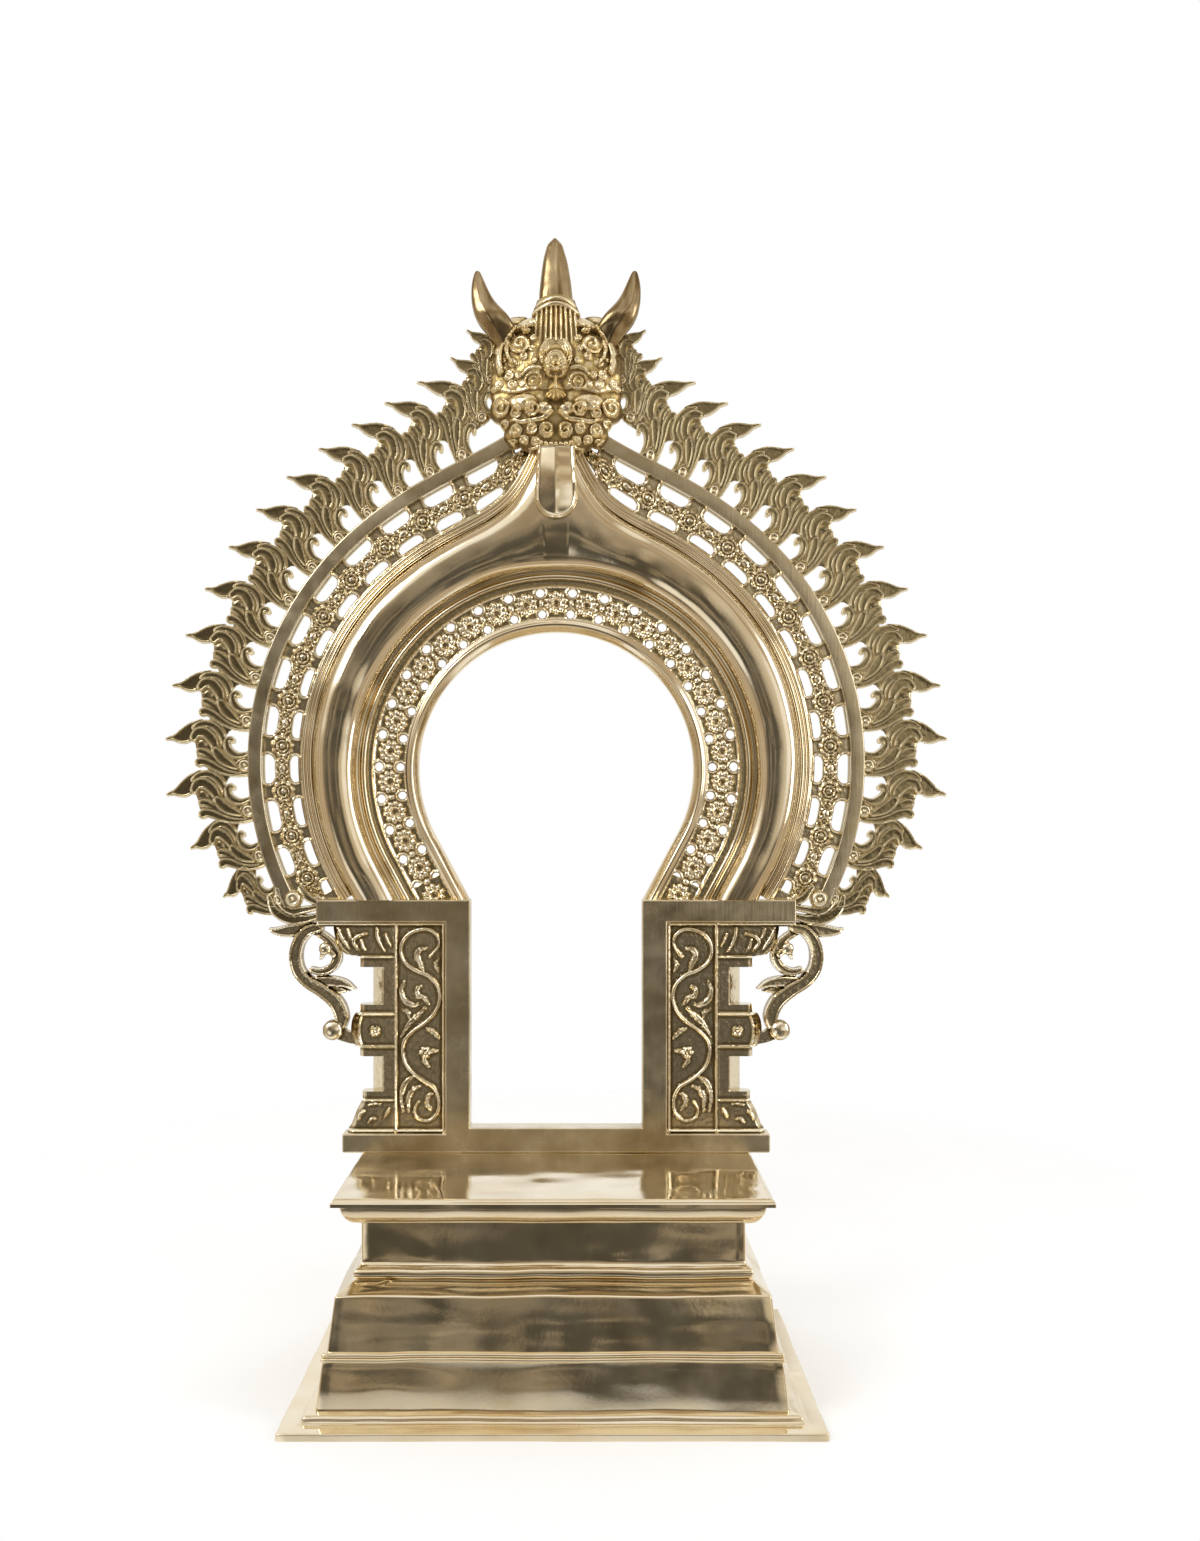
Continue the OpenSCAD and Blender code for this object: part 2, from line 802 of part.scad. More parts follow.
// The collar behind the face's edge, which ties the last flames together
module ear_collar() {
    collar_w = 8;
    lap = 2;
    middle = [0, face_up];
    polygon(concat(
        arc(middle, face_r + collar_w, 66, -25, 20),
        arc(middle, face_r - lap, -25, 66, 20)));
}

// One casting: a piece of the rim with its flames
module flame_casting(side, k) {
    first = k * flames_each;
    t0 = max(0, flame_start(first + flames_each));
    t1 = flame_start(first);
    color(pale_brass)
        mirror([side < 0 ? 1 : 0, 0, 0])
            plate(y_plate - flame_t, y_plate)
                difference() {
                    union() {
                        outer_strip("rim", -rim_w / 2, rim_w / 2, t0, t1);
                        for (i = [first:first + flames_each - 1])
                            flame(i);
                        if (k == 3)
                            ear_collar();
                    }
                    face_foot(seam);
                }
}

module left_flames_1() flame_casting(-1, 0);
module left_flames_2() flame_casting(-1, 1);
module left_flames_3() flame_casting(-1, 2);
module left_flames_4() flame_casting(-1, 3);
module right_flames_1() flame_casting(1, 0);
module right_flames_2() flame_casting(1, 1);
module right_flames_3() flame_casting(1, 2);
module right_flames_4() flame_casting(1, 3);

// HEAD

z_face = z_centre + face_up;
horn_tip_r = 0.6;
face_ball = (face_r * face_r + face_t * face_t) / (2 * face_t);

// How far the face's round surface stands out at a place
function face_depth(x, up) = sqrt(face_ball * face_ball - x * x - up * up) - (face_ball - face_t);

// The ball that the face is cut from
module ball(grow) {
    translate([0, y_plate + face_ball - face_t, z_face])
        sphere(face_ball + grow);
}

// A round boss that grows out of the face, standing proud of it
module boss(x, up, r, proud) {
    translate([x, y_plate, z_face + up])
        rotate([90, 0, 0])
            cylinder(r = r, h = face_depth(x, up) + proud);
}

// A boss with a pit in it, as the scrolls' ends and the eyes have
module ringed_boss(x, up, r, proud) {
    pit = r * 0.6;
    pit_deep = 2.2;
    top = y_plate - face_depth(x, up) - proud;
    difference() {
        boss(x, up, r, proud);
        translate([x, top + pit_deep, z_face + up])
            rotate([90, 0, 0])
                cylinder(r = pit, h = far);
    }
}

// The ringed boss on the forehead: three steps and a round tip
module forehead() {
    up = boss_r * 0.75;
    step = 3;
    tip_r = boss_r * 0.42;
    for (k = [0:2])
        boss(0, up, boss_r * (1 - 0.2 * k), step * (k + 1));
    translate([0, y_plate - face_depth(0, up) - 3 * step, z_face + up])
        sphere(tip_r);
}

// The short wedge of the nose
module nose() {
    up = -9;
    wide = 6.5;
    narrow = 2.2;
    proud = 8;
    translate([0, y_plate - face_depth(0, up), z_face + up])
        rotate([90, 0, 0])
            cylinder(r1 = wide, r2 = narrow, h = proud);
}

// The scrolls of one side: cheek, moustache, beard and brow, as [x, up, radius, proud]
scrolls = [
    [30, -18, cheek_r, 5], [16, -17, 5.4, 5], [6.2, -31, 5.8, 5], [18.5, -29, 4.6, 3],
    [21.5, 25, 6, 4], [30, 15, 4.4, 4], [27, 3, 4, 3]
];

// The round stump that a side horn stands on, in front of the flames
side_horn_x = 38.5;
side_horn_up = 30;
y_side_horn = y_plate - flame_t - side_horn_r - 1;

module temple(side) {
    tall = side_horn_up - 6;
    translate([side * side_horn_x, y_side_horn, z_face + side_horn_up - tall])
        cylinder(r = side_horn_r + horn_tip_r, h = tall);
}

module face_mask() {
    eye_x = 13.6;
    eye_up = -1.5;
    pupil_r = eye_r * 0.5;
    color(pale_brass) {
        difference() {
            ball(0);
            translate([-far / 2, y_plate, z_face - far / 2])
                cube([far, far, far]);
        }
        forehead();
        nose();
        for (s = [-1, 1]) {
            ringed_boss(s * eye_x, eye_up, eye_r, 4);
            translate([s * eye_x, y_plate - face_depth(eye_x, eye_up) - 1, z_face + eye_up])
                sphere(pupil_r);
            for (q = scrolls)
                ringed_boss(s * q[0], q[1], q[2], q[3]);
            temple(s);
        }
    }
}

z_crown = z_face + 24.7;
crown_d = 26;
y_crown = y_plate - crown_d / 2;

module crown() {
    ribs = 9;
    rib_r = crown_w / ribs / 2 + 0.4;
    collar_r = crown_d / 2;
    lower_ring = cap_band_h * 0.6;
    step = 1.5;
    color(brass)
        difference() {
            union() {
                translate([-crown_w / 2, y_plate - crown_d + rib_r, z_crown])
                    cube([crown_w, crown_d - rib_r, crown_h]);
                for (i = [0:ribs - 1])
                    translate([(i - (ribs - 1) / 2) * crown_w / ribs, y_plate - crown_d + rib_r, z_crown])
                        cylinder(r = rib_r, h = crown_h, $fn = 16);
                translate([0, y_crown, z_crown + crown_h]) {
                    cylinder(r = collar_r, h = lower_ring);
                    cylinder(r = collar_r - step, h = cap_band_h);
                }
            }
            ball(seam);
        }
}

// A horn that narrows and bends, as rings along a curve
module horn(r, length, lean, bend) {
    rings = 10;
    sides = 16;
    ring_points = [for (k = [0:rings])
        let (
            s = k / rings,
            size = r * pow(1 - s, 0.8) + horn_tip_r,
            x = lean * length * s + bend * length * s * (1 - s))
        for (j = [0:sides - 1])
            [x + size * cos(360 * j / sides), size * sin(360 * j / sides), length * s]];
    walls = [for (k = [0:rings - 1], j = [0:sides - 1])
        let (low = k * sides, high = low + sides, next = (j + 1) % sides)
        [low + j, high + j, high + next, low + next]];
    foot = [[for (j = [0:sides - 1]) j]];
    tip = [[for (j = [sides - 1:-1:0]) rings * sides + j]];
    polyhedron(ring_points, concat(walls, foot, tip));
}

module centre_horn() {
    color(pale_brass)
        translate([0, y_crown, z_crown + crown_h + cap_band_h])
            horn(horn_r, horn_l, 0, 0);
}

module side_horn(side) {
    lean = 0.3;
    bend = 0.12;
    color(pale_brass)
        mirror([side < 0 ? 1 : 0, 0, 0])
            translate([side_horn_x, y_side_horn, z_face + side_horn_up])
                horn(side_horn_r, side_horn_l, lean, bend);
}

module left_horn() side_horn(-1);
module right_horn() side_horn(1);

// The tongue's outline with its round tip, drawn from the rings' centre
module tongue_outline(inset) {
    r = tongue_w / 2;
    tip = face_up - face_r - tongue_l + r;
    polygon(concat(
        arc([0, tip], r - inset, 180, 360, 16),
        [[r - inset, face_up], [inset - r, face_up]]));
}

module tongue() {
    rim = 2.6;
    raised = 1.4;
    y1 = y_plate - roll_t;
    y0 = y1 - tongue_t + raised;
    color(pale_brass)
        difference() {
            union() {
                plate(y0, y1)
                    tongue_outline(0);
                plate(y0 - raised, y0)
                    difference() {
                        tongue_outline(0);
                        tongue_outline(rim);
                    }
            }
            ball(seam);
            for (s = [-1, 1])
                boss(s * scrolls[2][0], scrolls[2][1], scrolls[2][2] + seam, far);
        }
}

foot_plate();
lower_course();
upper_course();
neck_course();
top_slab();
left_socket();
right_socket();
keyhole_frame();
left_tenon();
right_tenon();
left_scroll_panel();
right_scroll_panel();
left_pilaster();
right_pilaster();
left_scroll_bracket();
right_scroll_bracket();
inner_lip();
inner_band();
roll_moulding();
left_beads();
right_beads();
left_lattice();
right_lattice();
left_flames_1();
left_flames_2();
left_flames_3();
left_flames_4();
right_flames_1();
right_flames_2();
right_flames_3();
right_flames_4();
face_mask();
crown();
centre_horn();
left_horn();
right_horn();
tongue();
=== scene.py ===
import math

import bpy
import numpy as np
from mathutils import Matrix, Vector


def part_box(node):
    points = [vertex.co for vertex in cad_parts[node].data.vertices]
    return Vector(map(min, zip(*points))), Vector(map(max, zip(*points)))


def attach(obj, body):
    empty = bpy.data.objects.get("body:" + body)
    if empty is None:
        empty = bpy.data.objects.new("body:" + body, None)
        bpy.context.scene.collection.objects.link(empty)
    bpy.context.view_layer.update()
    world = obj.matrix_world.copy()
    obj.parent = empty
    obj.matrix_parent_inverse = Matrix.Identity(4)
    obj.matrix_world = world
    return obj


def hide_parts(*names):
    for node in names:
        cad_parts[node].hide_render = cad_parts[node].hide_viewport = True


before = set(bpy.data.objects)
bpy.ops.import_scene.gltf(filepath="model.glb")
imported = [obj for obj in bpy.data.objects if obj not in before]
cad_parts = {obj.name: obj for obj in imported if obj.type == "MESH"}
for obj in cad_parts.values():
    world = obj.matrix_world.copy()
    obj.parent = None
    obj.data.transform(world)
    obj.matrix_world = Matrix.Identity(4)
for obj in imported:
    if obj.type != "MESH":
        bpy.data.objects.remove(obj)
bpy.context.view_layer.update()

# Sizes of the part in millimetres
MM = 0.001
SLAB_W, SLAB_D, SLAB_Z = 249.0, 156.0, 124.5
Y_FRONT, Y_BACK, Y_PLATE = 37.6, 53.6, 48.6
RING_Z = 368.8
SHOULDER_Z = 285.7
FACE_Z = 613.8
OPENING_R, BAND_R, RIDGE_R, ROLL_R = 88.0, 97.0, 121.7, 128.0
LEG_ANGLE = 118.0
DROP = SHOULDER_Z - RING_Z
BEADS_W, RIM_W, RIM_R = 7.0, 9.1, 193.3
PANEL_IN, PANEL_W, PANEL_TALL, PANEL_T = 70.8, 33.0, 134.9, 11.0
SILL_HALF, SILL_H, STEP_H, DOOR_HALF = 136.3, 12.1, 16.0, 54.8
CAP_HALF, CAP_LOW, CAP_TOP = 153.0, 147.0, 161.2

# Numbers of a piece's paints: carved front, cast back and plain rim
FRONT, BACK, RIM = 0, 1, 2

# Ribbons: width of the raised line, run of the edge's slope, depth and run of the dish, lowest share
LINE_W, SLOPE_W, DISH, DISH_RUN, LOWEST = 0.45, 0.5, 0.06, 2.5, 0.55

# Height in millimetres that counts as a full ridge or hollow for the wear and for the painted shade and
# highlight, and drop at an outline as a share of its run
WEAR_AND_SHADE_SPAN, ROLL_OFF = 0.9, 0.55


# Shapes on a grid

def smooth(x):
    """Eases a share from 0 to 1, level at both ends: 3 x squared less 2 x cubed."""
    x = np.clip(x, 0.0, 1.0)
    return x * x * (3.0 - 2.0 * x)


def dome(distance, radius):
    """The height of a half ball of that radius over a distance from its middle, as a share."""
    return np.sqrt(np.clip(1.0 - (distance / radius) ** 2, 0.0, 1.0))


def bump(x, middle, width):
    """A bell curve round a middle value."""
    return np.exp(-(((x - middle) / width) ** 2))


def spline(points, steps, closed=False):
    """A Catmull-Rom curve through rows of numbers, with so many steps in each span."""
    p = np.asarray(points, float)
    if closed:
        spans = [np.roll(p, shift, 0) for shift in (1, 0, -1, -2)]
    else:
        ends = np.vstack([2 * p[0] - p[1], p, 2 * p[-1] - p[-2]])
        spans = [ends[:-3], ends[1:-2], ends[2:-1], ends[3:]]
    a, b, c, d = (q[:, None, :] for q in spans)
    t = (np.arange(steps) / steps)[None, :, None]
    curve = 0.5 * (2 * b + (c - a) * t + (2 * a - 5 * b + 4 * c - d) * t**2
                   + (3 * b - a - 3 * c + d) * t**3)
    curve = curve.reshape(-1, p.shape[1])
    return curve if closed else np.vstack([curve, p[-1]])


def ripple(x, y, size, seed):
    """Soft unevenness between -1 and 1: six sine waves of about one size in seeded directions."""
    rng = np.random.default_rng(seed)
    turn = rng.uniform(0, 2 * np.pi, 6)
    phase = rng.uniform(0, 2 * np.pi, 6)
    pitch = 2 * np.pi / (size * rng.uniform(0.7, 1.5, 6))
    waves = np.sin((x[..., None] * np.cos(turn) + y[..., None] * np.sin(turn)) * pitch + phase)
    return waves.mean(-1) * 1.4


def grain(shape, seed, blur=1):
    """Seeded fine pits and lumps between -1 and 1 on a grid, softened a little."""
    noise = np.random.default_rng(seed).uniform(-1, 1, shape)
    for axis in (0, 1):
        noise = sum(np.roll(noise, k, axis) for k in range(-blur, blur + 1)) / (2 * blur + 1)
    return noise * (2 * blur + 1) / 1.7


def along_path(u, v, path):
    """For each grid point: distance to a line of (u, v, half width) rows as a share of the half
    width at the nearest place, and that half width."""
    a, b = path[:-1], path[1:]
    du, dv = b[:, 0] - a[:, 0], b[:, 1] - a[:, 1]
    pu, pv = u[..., None] - a[:, 0], v[..., None] - a[:, 1]
    t = np.clip((pu * du + pv * dv) / (du * du + dv * dv + 1e-9), 0.0, 1.0)
    width = a[:, 2] + t * (b[:, 2] - a[:, 2])
    share = np.hypot(pu - t * du, pv - t * dv) / width
    best = np.argmin(share, -1)[..., None]
    return [np.take_along_axis(q, best, -1)[..., 0] for q in (share, width)]


class Relief:
    """A carved plate on a grid: how far inside its outline each point lies, and its height."""

    def __init__(self, u, v, inside=None, height=0.0):
        """Starts with nothing inside, or with an outline, at one height."""
        self.u, self.v = u, v
        self.inside = np.full(u.shape, -1.0) if inside is None else inside
        self.height = np.zeros(u.shape) + height
        self.fall = 0.0

    def along(self, path):
        """The distance of each point to a line, as a share of the line's half width."""
        return along_path(self.u, self.v, path)[0]

    def ribbon(self, path, rise, rim, line=0.6, steps=5):
        """Lays a hollowed ribbon along a curve, with a raised line of even width inside its edge."""
        share, width = along_path(self.u, self.v, spline(path, steps))
        edge = width * (1 - share)
        hollow = rise - DISH * rim * np.clip(edge - line, 0, DISH_RUN)
        made = hollow * smooth(edge / SLOPE_W) + rim * bump(edge, line, LINE_W)
        self.height = np.where(share < 1, np.maximum(made, rise * LOWEST), self.height)
        self.inside = np.maximum(self.inside, edge)

    def blot(self, path, height):
        """Fills the inside of a closed curve to a height, by counting crossings to one side."""
        a, b = path, np.roll(path, -1, 0)
        v, u = self.v[..., None], self.u[..., None]
        crosses = (a[:, 1] > v) != (b[:, 1] > v)
        slope = (b[:, 0] - a[:, 0]) / np.where(b[:, 1] == a[:, 1], 1e-9, b[:, 1] - a[:, 1])
        left = u < a[:, 0] + slope * (v - a[:, 1])
        filled = (crosses & left).sum(-1) % 2 == 1
        edge = self.along(np.column_stack([np.vstack([path, path[:1]]), np.ones(len(path) + 1)]))
        self.inside = np.maximum(self.inside, np.where(filled, edge, -edge))
        self.height = np.where(filled, height, self.height)

    def stem(self, path, rise, steps=5):
        """Raises a round cord along a curve, standing on the ground around it."""
        self.height = self.height + rise * dome(self.along(spline(path, steps)), 1.0)

    def knob(self, u, v, r, rise, ground=0.0):
        """Puts a round knob on the plate: a flattened half ball on a ground."""
        d = np.hypot(self.u - u, self.v - v)
        self.height = np.where(d < r, ground + rise * dome(d, r * 1.04), self.height)
        self.inside = np.maximum(self.inside, r - d)

    def ringed(self, u, v, r, rise, rings, pit=0.3):
        """Adds rings round a middle: a cosine of the distance under a dome."""
        share = np.hypot(self.u - u, self.v - v) / r
        wave = 0.5 + 0.5 * np.cos(2 * np.pi * rings * share)
        self.height = self.height + np.where(share < 1, rise * (dome(share, 1.05) + pit * wave), 0.0)

    def spiral(self, u, v, r, rise, turns, start, hand=1):
        """Adds a snail: a round cord wound inwards, from a cosine of turn and distance."""
        du, dv = self.u - u, self.v - v
        share = np.hypot(du, dv) / r
        angle = hand * np.arctan2(dv, du) - math.radians(start)
        wave = 0.5 + 0.5 * np.cos(2 * np.pi * (turns * share) - angle)
        body = dome(share, 1.02) ** 0.6
        self.height = self.height + np.where(share < 1, rise * body * (0.5 + 0.5 * wave), 0.0)

    def flower(self, s, q, r, petals, rise):
        """Adds a flower at local offsets: a pit, a ring and a wreath of small domes."""
        d = np.hypot(s, q) / r
        turn = np.mod(np.arctan2(q, s) * petals / (2 * np.pi), 1.0) - 0.5
        across = turn * 2 * np.pi / petals * d
        leaf = np.hypot(d - 0.78, across) / 0.25
        ring = bump(d, 0.4, 0.13)
        self.height = self.height + rise * (ring + 0.9 * dome(leaf, 1.0) + 0.25 * bump(d, 0, 0.12))


def wear_and_shade_share(height, inside, reach):
    """How far each point stands above or below the mean height around it, from -1 to 1: it sets the wear
    and the painted shade in hollows and painted highlight on ridges.
    """
    mean = np.where(inside > 0, height, 0.0)
    weight = (inside > 0).astype(float)
    for axis in (0, 1):
        mean = sum(np.roll(mean, k, axis) for k in range(-reach, reach + 1))
        weight = sum(np.roll(weight, k, axis) for k in range(-reach, reach + 1))
    return np.clip((height - mean / np.maximum(weight, 1e-6)) / WEAR_AND_SHADE_SPAN, -1, 1)


def rolled_off(inside, soft, drop):
    """How far a surface falls towards its outline: a quarter of an ellipse, soft wide, drop deep."""
    edge = np.clip(inside / soft, 0, 1)
    return drop * (1 - np.sqrt(1 - (1 - edge) ** 2))


# Corners of a cell are 0 to 3 and its edges 4 to 7; each case lists the faces inside the outline
CELL_FACES = {
    1: [[0, 4, 7]], 2: [[1, 5, 4]], 3: [[0, 1, 5, 7]], 4: [[2, 6, 5]],
    5: [[0, 4, 7], [2, 6, 5]], 6: [[1, 2, 6, 4]], 7: [[0, 1, 2, 6, 7]], 8: [[3, 7, 6]],
    9: [[0, 4, 6, 3]], 10: [[1, 5, 4], [3, 7, 6]], 11: [[0, 1, 5, 6, 3]], 12: [[2, 3, 7, 5]],
    13: [[0, 4, 5, 2, 3]], 14: [[1, 2, 3, 7, 4]], 15: [[0, 1, 2, 3]],
}
WHOLE_CELL = 15

# A cut keeps this share of a cell's edge away from the corners
NEAREST = 0.06


def plain_blocks(node, full):
    """Covers a flat back with square blocks of whole cells, large ones first. A block is one face
    with every grid point on its border. Returns the blocks and the cells they leave over."""
    left, blocks = full.copy(), []
    for size in (16, 8, 4, 2):
        rows, columns = left.shape[0] // size, left.shape[1] // size
        tiles = left[:rows * size, :columns * size].reshape(rows, size, columns, size)
        whole = tiles.all((1, 3))
        tiles &= ~whole[:, None, :, None]
        left[:rows * size, :columns * size] = tiles.reshape(rows * size, columns * size)
        i, j = (size * k[:, None] for k in np.nonzero(whole))
        step = np.arange(size)
        still = np.zeros(size, int)
        down = np.concatenate([still, step, still + size, size - step])
        along = np.concatenate([step, still + size, size - step, still])
        blocks.append(node[i + down, j + along])
    return blocks, left


def trace(inside, *channels):
    """Cuts a grid along the line where inside is zero. Points outside are dropped, and the cut
    points lie on the grid's edges where inside passes zero. Returns the channels at the kept
    points, the faces of the front and of a flat back, and the outline's pieces."""
    f = inside.copy()
    f[0], f[-1], f[:, 0], f[:, -1] = -1e-3, -1e-3, -1e-3, -1e-3
    keep = f > 0
    node = np.where(keep, np.cumsum(keep).reshape(f.shape) - 1, -1)
    count = int(keep.sum())
    values = [[c[keep]] for c in channels]
    cuts = []
    for first, second in (((slice(None), slice(None, -1)), (slice(None), slice(1, None))),
                          ((slice(None, -1), slice(None)), (slice(1, None), slice(None)))):
        crossed = keep[first] != keep[second]
        number = np.where(crossed, count + np.cumsum(crossed).reshape(crossed.shape) - 1, -1)
        count += int(crossed.sum())
        t = f[first] / np.where(crossed, f[first] - f[second], 1.0)
        t = np.clip(t, NEAREST, 1 - NEAREST)[crossed]
        for k, c in enumerate(channels):
            values[k].append(c[first][crossed] * (1 - t) + c[second][crossed] * t)
        cuts.append(number)
    across, upward = cuts
    corner = np.stack([
        node[:-1, :-1], node[:-1, 1:], node[1:, 1:], node[1:, :-1],
        across[:-1], upward[:, 1:], across[1:], upward[:, :-1]], -1)
    case = (keep[:-1, :-1] + 2 * keep[:-1, 1:] + 4 * keep[1:, 1:] + 8 * keep[1:, :-1])
    faces, outline = {3: [], 4: [], 5: []}, []
    for number, shapes in CELL_FACES.items():
        cells = corner[case == number]
        for shape in shapes:
            faces[len(shape)].append(cells[:, shape])
            turned = shape[1:] + shape[:1]
            outline += [cells[:, [p, q]] for p, q in zip(shape, turned) if p > 3 and q > 3]
    blocks, left = plain_blocks(node, case == WHOLE_CELL)
    front = [np.concatenate(faces[n]) for n in (3, 4, 5)]
    back = faces[3] + faces[5] + faces[4][:-1] + [corner[left][:, :4]] + blocks
    return [np.concatenate(v) for v in values], (front, back), np.concatenate(outline)


class Shell:
    """Collects points and faces of one piece, in millimetres, before it becomes a mesh."""

    def __init__(self):
        """Starts empty."""
        self.points, self.faces, self.paint, self.wear_and_shade = [], [], [], []
        self.count = 0

    def add(self, points, faces, paint=FRONT, wear_and_shade=None):
        """Adds points with the faces on them, the faces' paint number and the points' share of wear and of
        painted shade and highlight.
        """
        points = np.asarray(points, float).reshape(-1, 3)
        self.points.append(points)
        self.wear_and_shade.append(np.zeros(len(points)) if wear_and_shade is None else np.asarray(wear_and_shade, float).ravel())
        for block in faces:
            block = np.asarray(block, int) + self.count
            self.faces += block.tolist()
            self.paint += np.broadcast_to(paint, len(block)).tolist()
        self.count += len(points)

    def relief(self, place, u, v, height, wear_and_shade, faces, outline, back, turned=False):
        """Adds a carved plate: its front at the given heights, a flat back and the edge between."""
        front = place(u, v, height)
        used = np.unique(np.concatenate([f.ravel() for f in faces[1]]))
        rear = place(u[used], v[used], np.zeros(len(used)) + back)
        number = np.zeros(len(u), int)
        number[used] = len(u) + np.arange(len(used))
        front_faces = [f for f in faces[0] if len(f)]
        rear_faces = [number[f[:, ::-1]] for f in faces[1] if len(f)]
        p, q = outline[:, 0], outline[:, 1]
        walls = np.stack([p, number[p], number[q], q], 1)
        if turned:
            front_faces = [f[:, ::-1] for f in front_faces]
            rear_faces = [f[:, ::-1] for f in rear_faces]
            walls = walls[:, ::-1]
        first = self.count
        wear_and_shade = np.concatenate([wear_and_shade, np.zeros(len(used))])
        self.add(np.vstack([front, rear]), front_faces, FRONT, wear_and_shade)
        self.faces += [face for f in rear_faces for face in (f + first).tolist()]
        self.paint += [BACK] * sum(len(f) for f in rear_faces)
        self.faces += (walls + first).tolist()
        self.paint += [FRONT] * len(walls)

    def grid(self, points, closed_u=False, closed_v=False, paint=FRONT, turned=False):
        """Adds a surface over two parameters: rows and columns of points, closed where asked."""
        n, m = points.shape[:2]
        number = np.arange(n * m).reshape(n, m)
        i = np.arange(n if closed_u else n - 1)[:, None]
        j = np.arange(m if closed_v else m - 1)[None, :]
        near, far, left, right = i, (i + 1) % n, j, (j + 1) % m
        quads = np.stack([number[near, left], number[near, right], number[far, right],
                          number[far, left]], -1).reshape(-1, 4)
        self.add(points, [quads[:, ::-1] if turned else quads], paint)

    def cap(self, ring, turned=False):
        """Closes a ring of points with one flat face."""
        order = np.arange(len(ring))[None]
        self.add(ring, [order[:, ::-1] if turned else order])

    def mirrored(self):
        """The same piece on the other side of the middle plane."""
        other = Shell()
        other.points = [p * [-1, 1, 1] for p in self.points]
        other.faces = [face[::-1] for face in self.faces]
        other.paint, other.wear_and_shade, other.count = list(self.paint), list(self.wear_and_shade), self.count
        return other

    def build(self, name, paints, body, nodes, slot, sharp=38.0):
        """Makes the mesh and its object, puts the object under its body and hides the CAD nodes it stands
        for. The finish slot is not used.
        """
        mesh = bpy.data.meshes.new(name)
        points = np.concatenate(self.points) * MM
        mesh.from_pydata(points.tolist(), [], self.faces)
        mesh.polygons.foreach_set("material_index", np.array(self.paint, np.int32))
        for paint in paints:
            mesh.materials.append(paint)
        # Per-point share for wear and for painted shade and highlight
        wear_and_shade = mesh.attributes.new("wear_and_shade", "FLOAT", "POINT")
        wear_and_shade.data.foreach_set("value", np.concatenate(self.wear_and_shade).astype(np.float32))
        mesh.shade_smooth()
        mesh.set_sharp_from_angle(angle=math.radians(sharp))
        mesh.update()
        piece = bpy.data.objects.new(name, mesh)
        bpy.context.scene.collection.objects.link(piece)
        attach(piece, body)
        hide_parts(*nodes)
        return piece


# Finishes

def new_paint(name):
    """A new metal finish: the material, its node tree and its shader."""
    paint = bpy.data.materials.new(name)
    paint.use_nodes = True
    tree = paint.node_tree
    shader = tree.nodes["Principled BSDF"]
    shader.inputs["Metallic"].default_value = 1.0
    return paint, tree, shader


def ramp(tree, source, stops):
    """A colour ramp fed by a socket; stops are (place, colour) pairs."""
    node = tree.nodes.new("ShaderNodeValToRGB")
    for k, (place, colour) in enumerate(stops):
        slot = node.color_ramp.elements[k] if k < 2 else node.color_ramp.elements.new(place)
        slot.position = place
        slot.color = (*colour, 1.0)
    tree.links.new(source, node.inputs["Fac"])
    return node.outputs["Color"]


def remap(tree, source, low, high, to_low, to_high, ease="LINEAR"):
    """Maps a socket's range on to another range."""
    node = tree.nodes.new("ShaderNodeMapRange")
    node.interpolation_type = ease
    for key, value in (("From Min", low), ("From Max", high), ("To Min", to_low), ("To Max", to_high)):
        node.inputs[key].default_value = value
    tree.links.new(source, node.inputs["Value"])
    return node.outputs["Result"]


def noise(tree, scale, detail=3.0, stretch=None, place=None):
    """Noise over a place, or else over the piece's own coordinates in metres, stretched along an
    axis when asked."""
    if place is None:
        place = tree.nodes.new("ShaderNodeTexCoord").outputs["Object"]
    if stretch:
        mapping = tree.nodes.new("ShaderNodeMapping")
        mapping.inputs["Scale"].default_value = stretch
        tree.links.new(place, mapping.inputs["Vector"])
        place = mapping.outputs["Vector"]
    node = tree.nodes.new("ShaderNodeTexNoise")
    node.inputs["Scale"].default_value = scale
    node.inputs["Detail"].default_value = detail
    tree.links.new(place, node.inputs["Vector"])
    return node.outputs["Fac"]


def uneven(tree, shader, layers):
    """Bends the surface by layers of noise: (socket, depth in metres) pairs, one after another."""
    normal = None
    for source, depth in layers:
        node = tree.nodes.new("ShaderNodeBump")
        node.inputs["Strength"].default_value = 1.0
        node.inputs["Distance"].default_value = depth
        tree.links.new(source, node.inputs["Height"])
        if normal:
            tree.links.new(normal, node.inputs["Normal"])
        normal = node.outputs["Normal"]
    tree.links.new(normal, shader.inputs["Normal"])


def coat(tree, shader, colour, rough, layers):
    """Gives a shader its colour and roughness, and bends its surface by layers of noise."""
    tree.links.new(colour, shader.inputs["Base Color"])
    tree.links.new(rough, shader.inputs["Roughness"])
    uneven(tree, shader, layers)


def wear_and_shade_socket(tree):
    """The share kept on the piece's points for wear and for painted shade and highlight, from -1 in hollows
    to 1 on ridges.
    """
    node = tree.nodes.new("ShaderNodeAttribute")
    node.attribute_name = "wear_and_shade"
    return node.outputs["Fac"]


PALE, WARM, DULL, DARK = (0.87, 0.77, 0.58), (0.79, 0.66, 0.44), (0.62, 0.47, 0.22), (0.26, 0.18, 0.08)


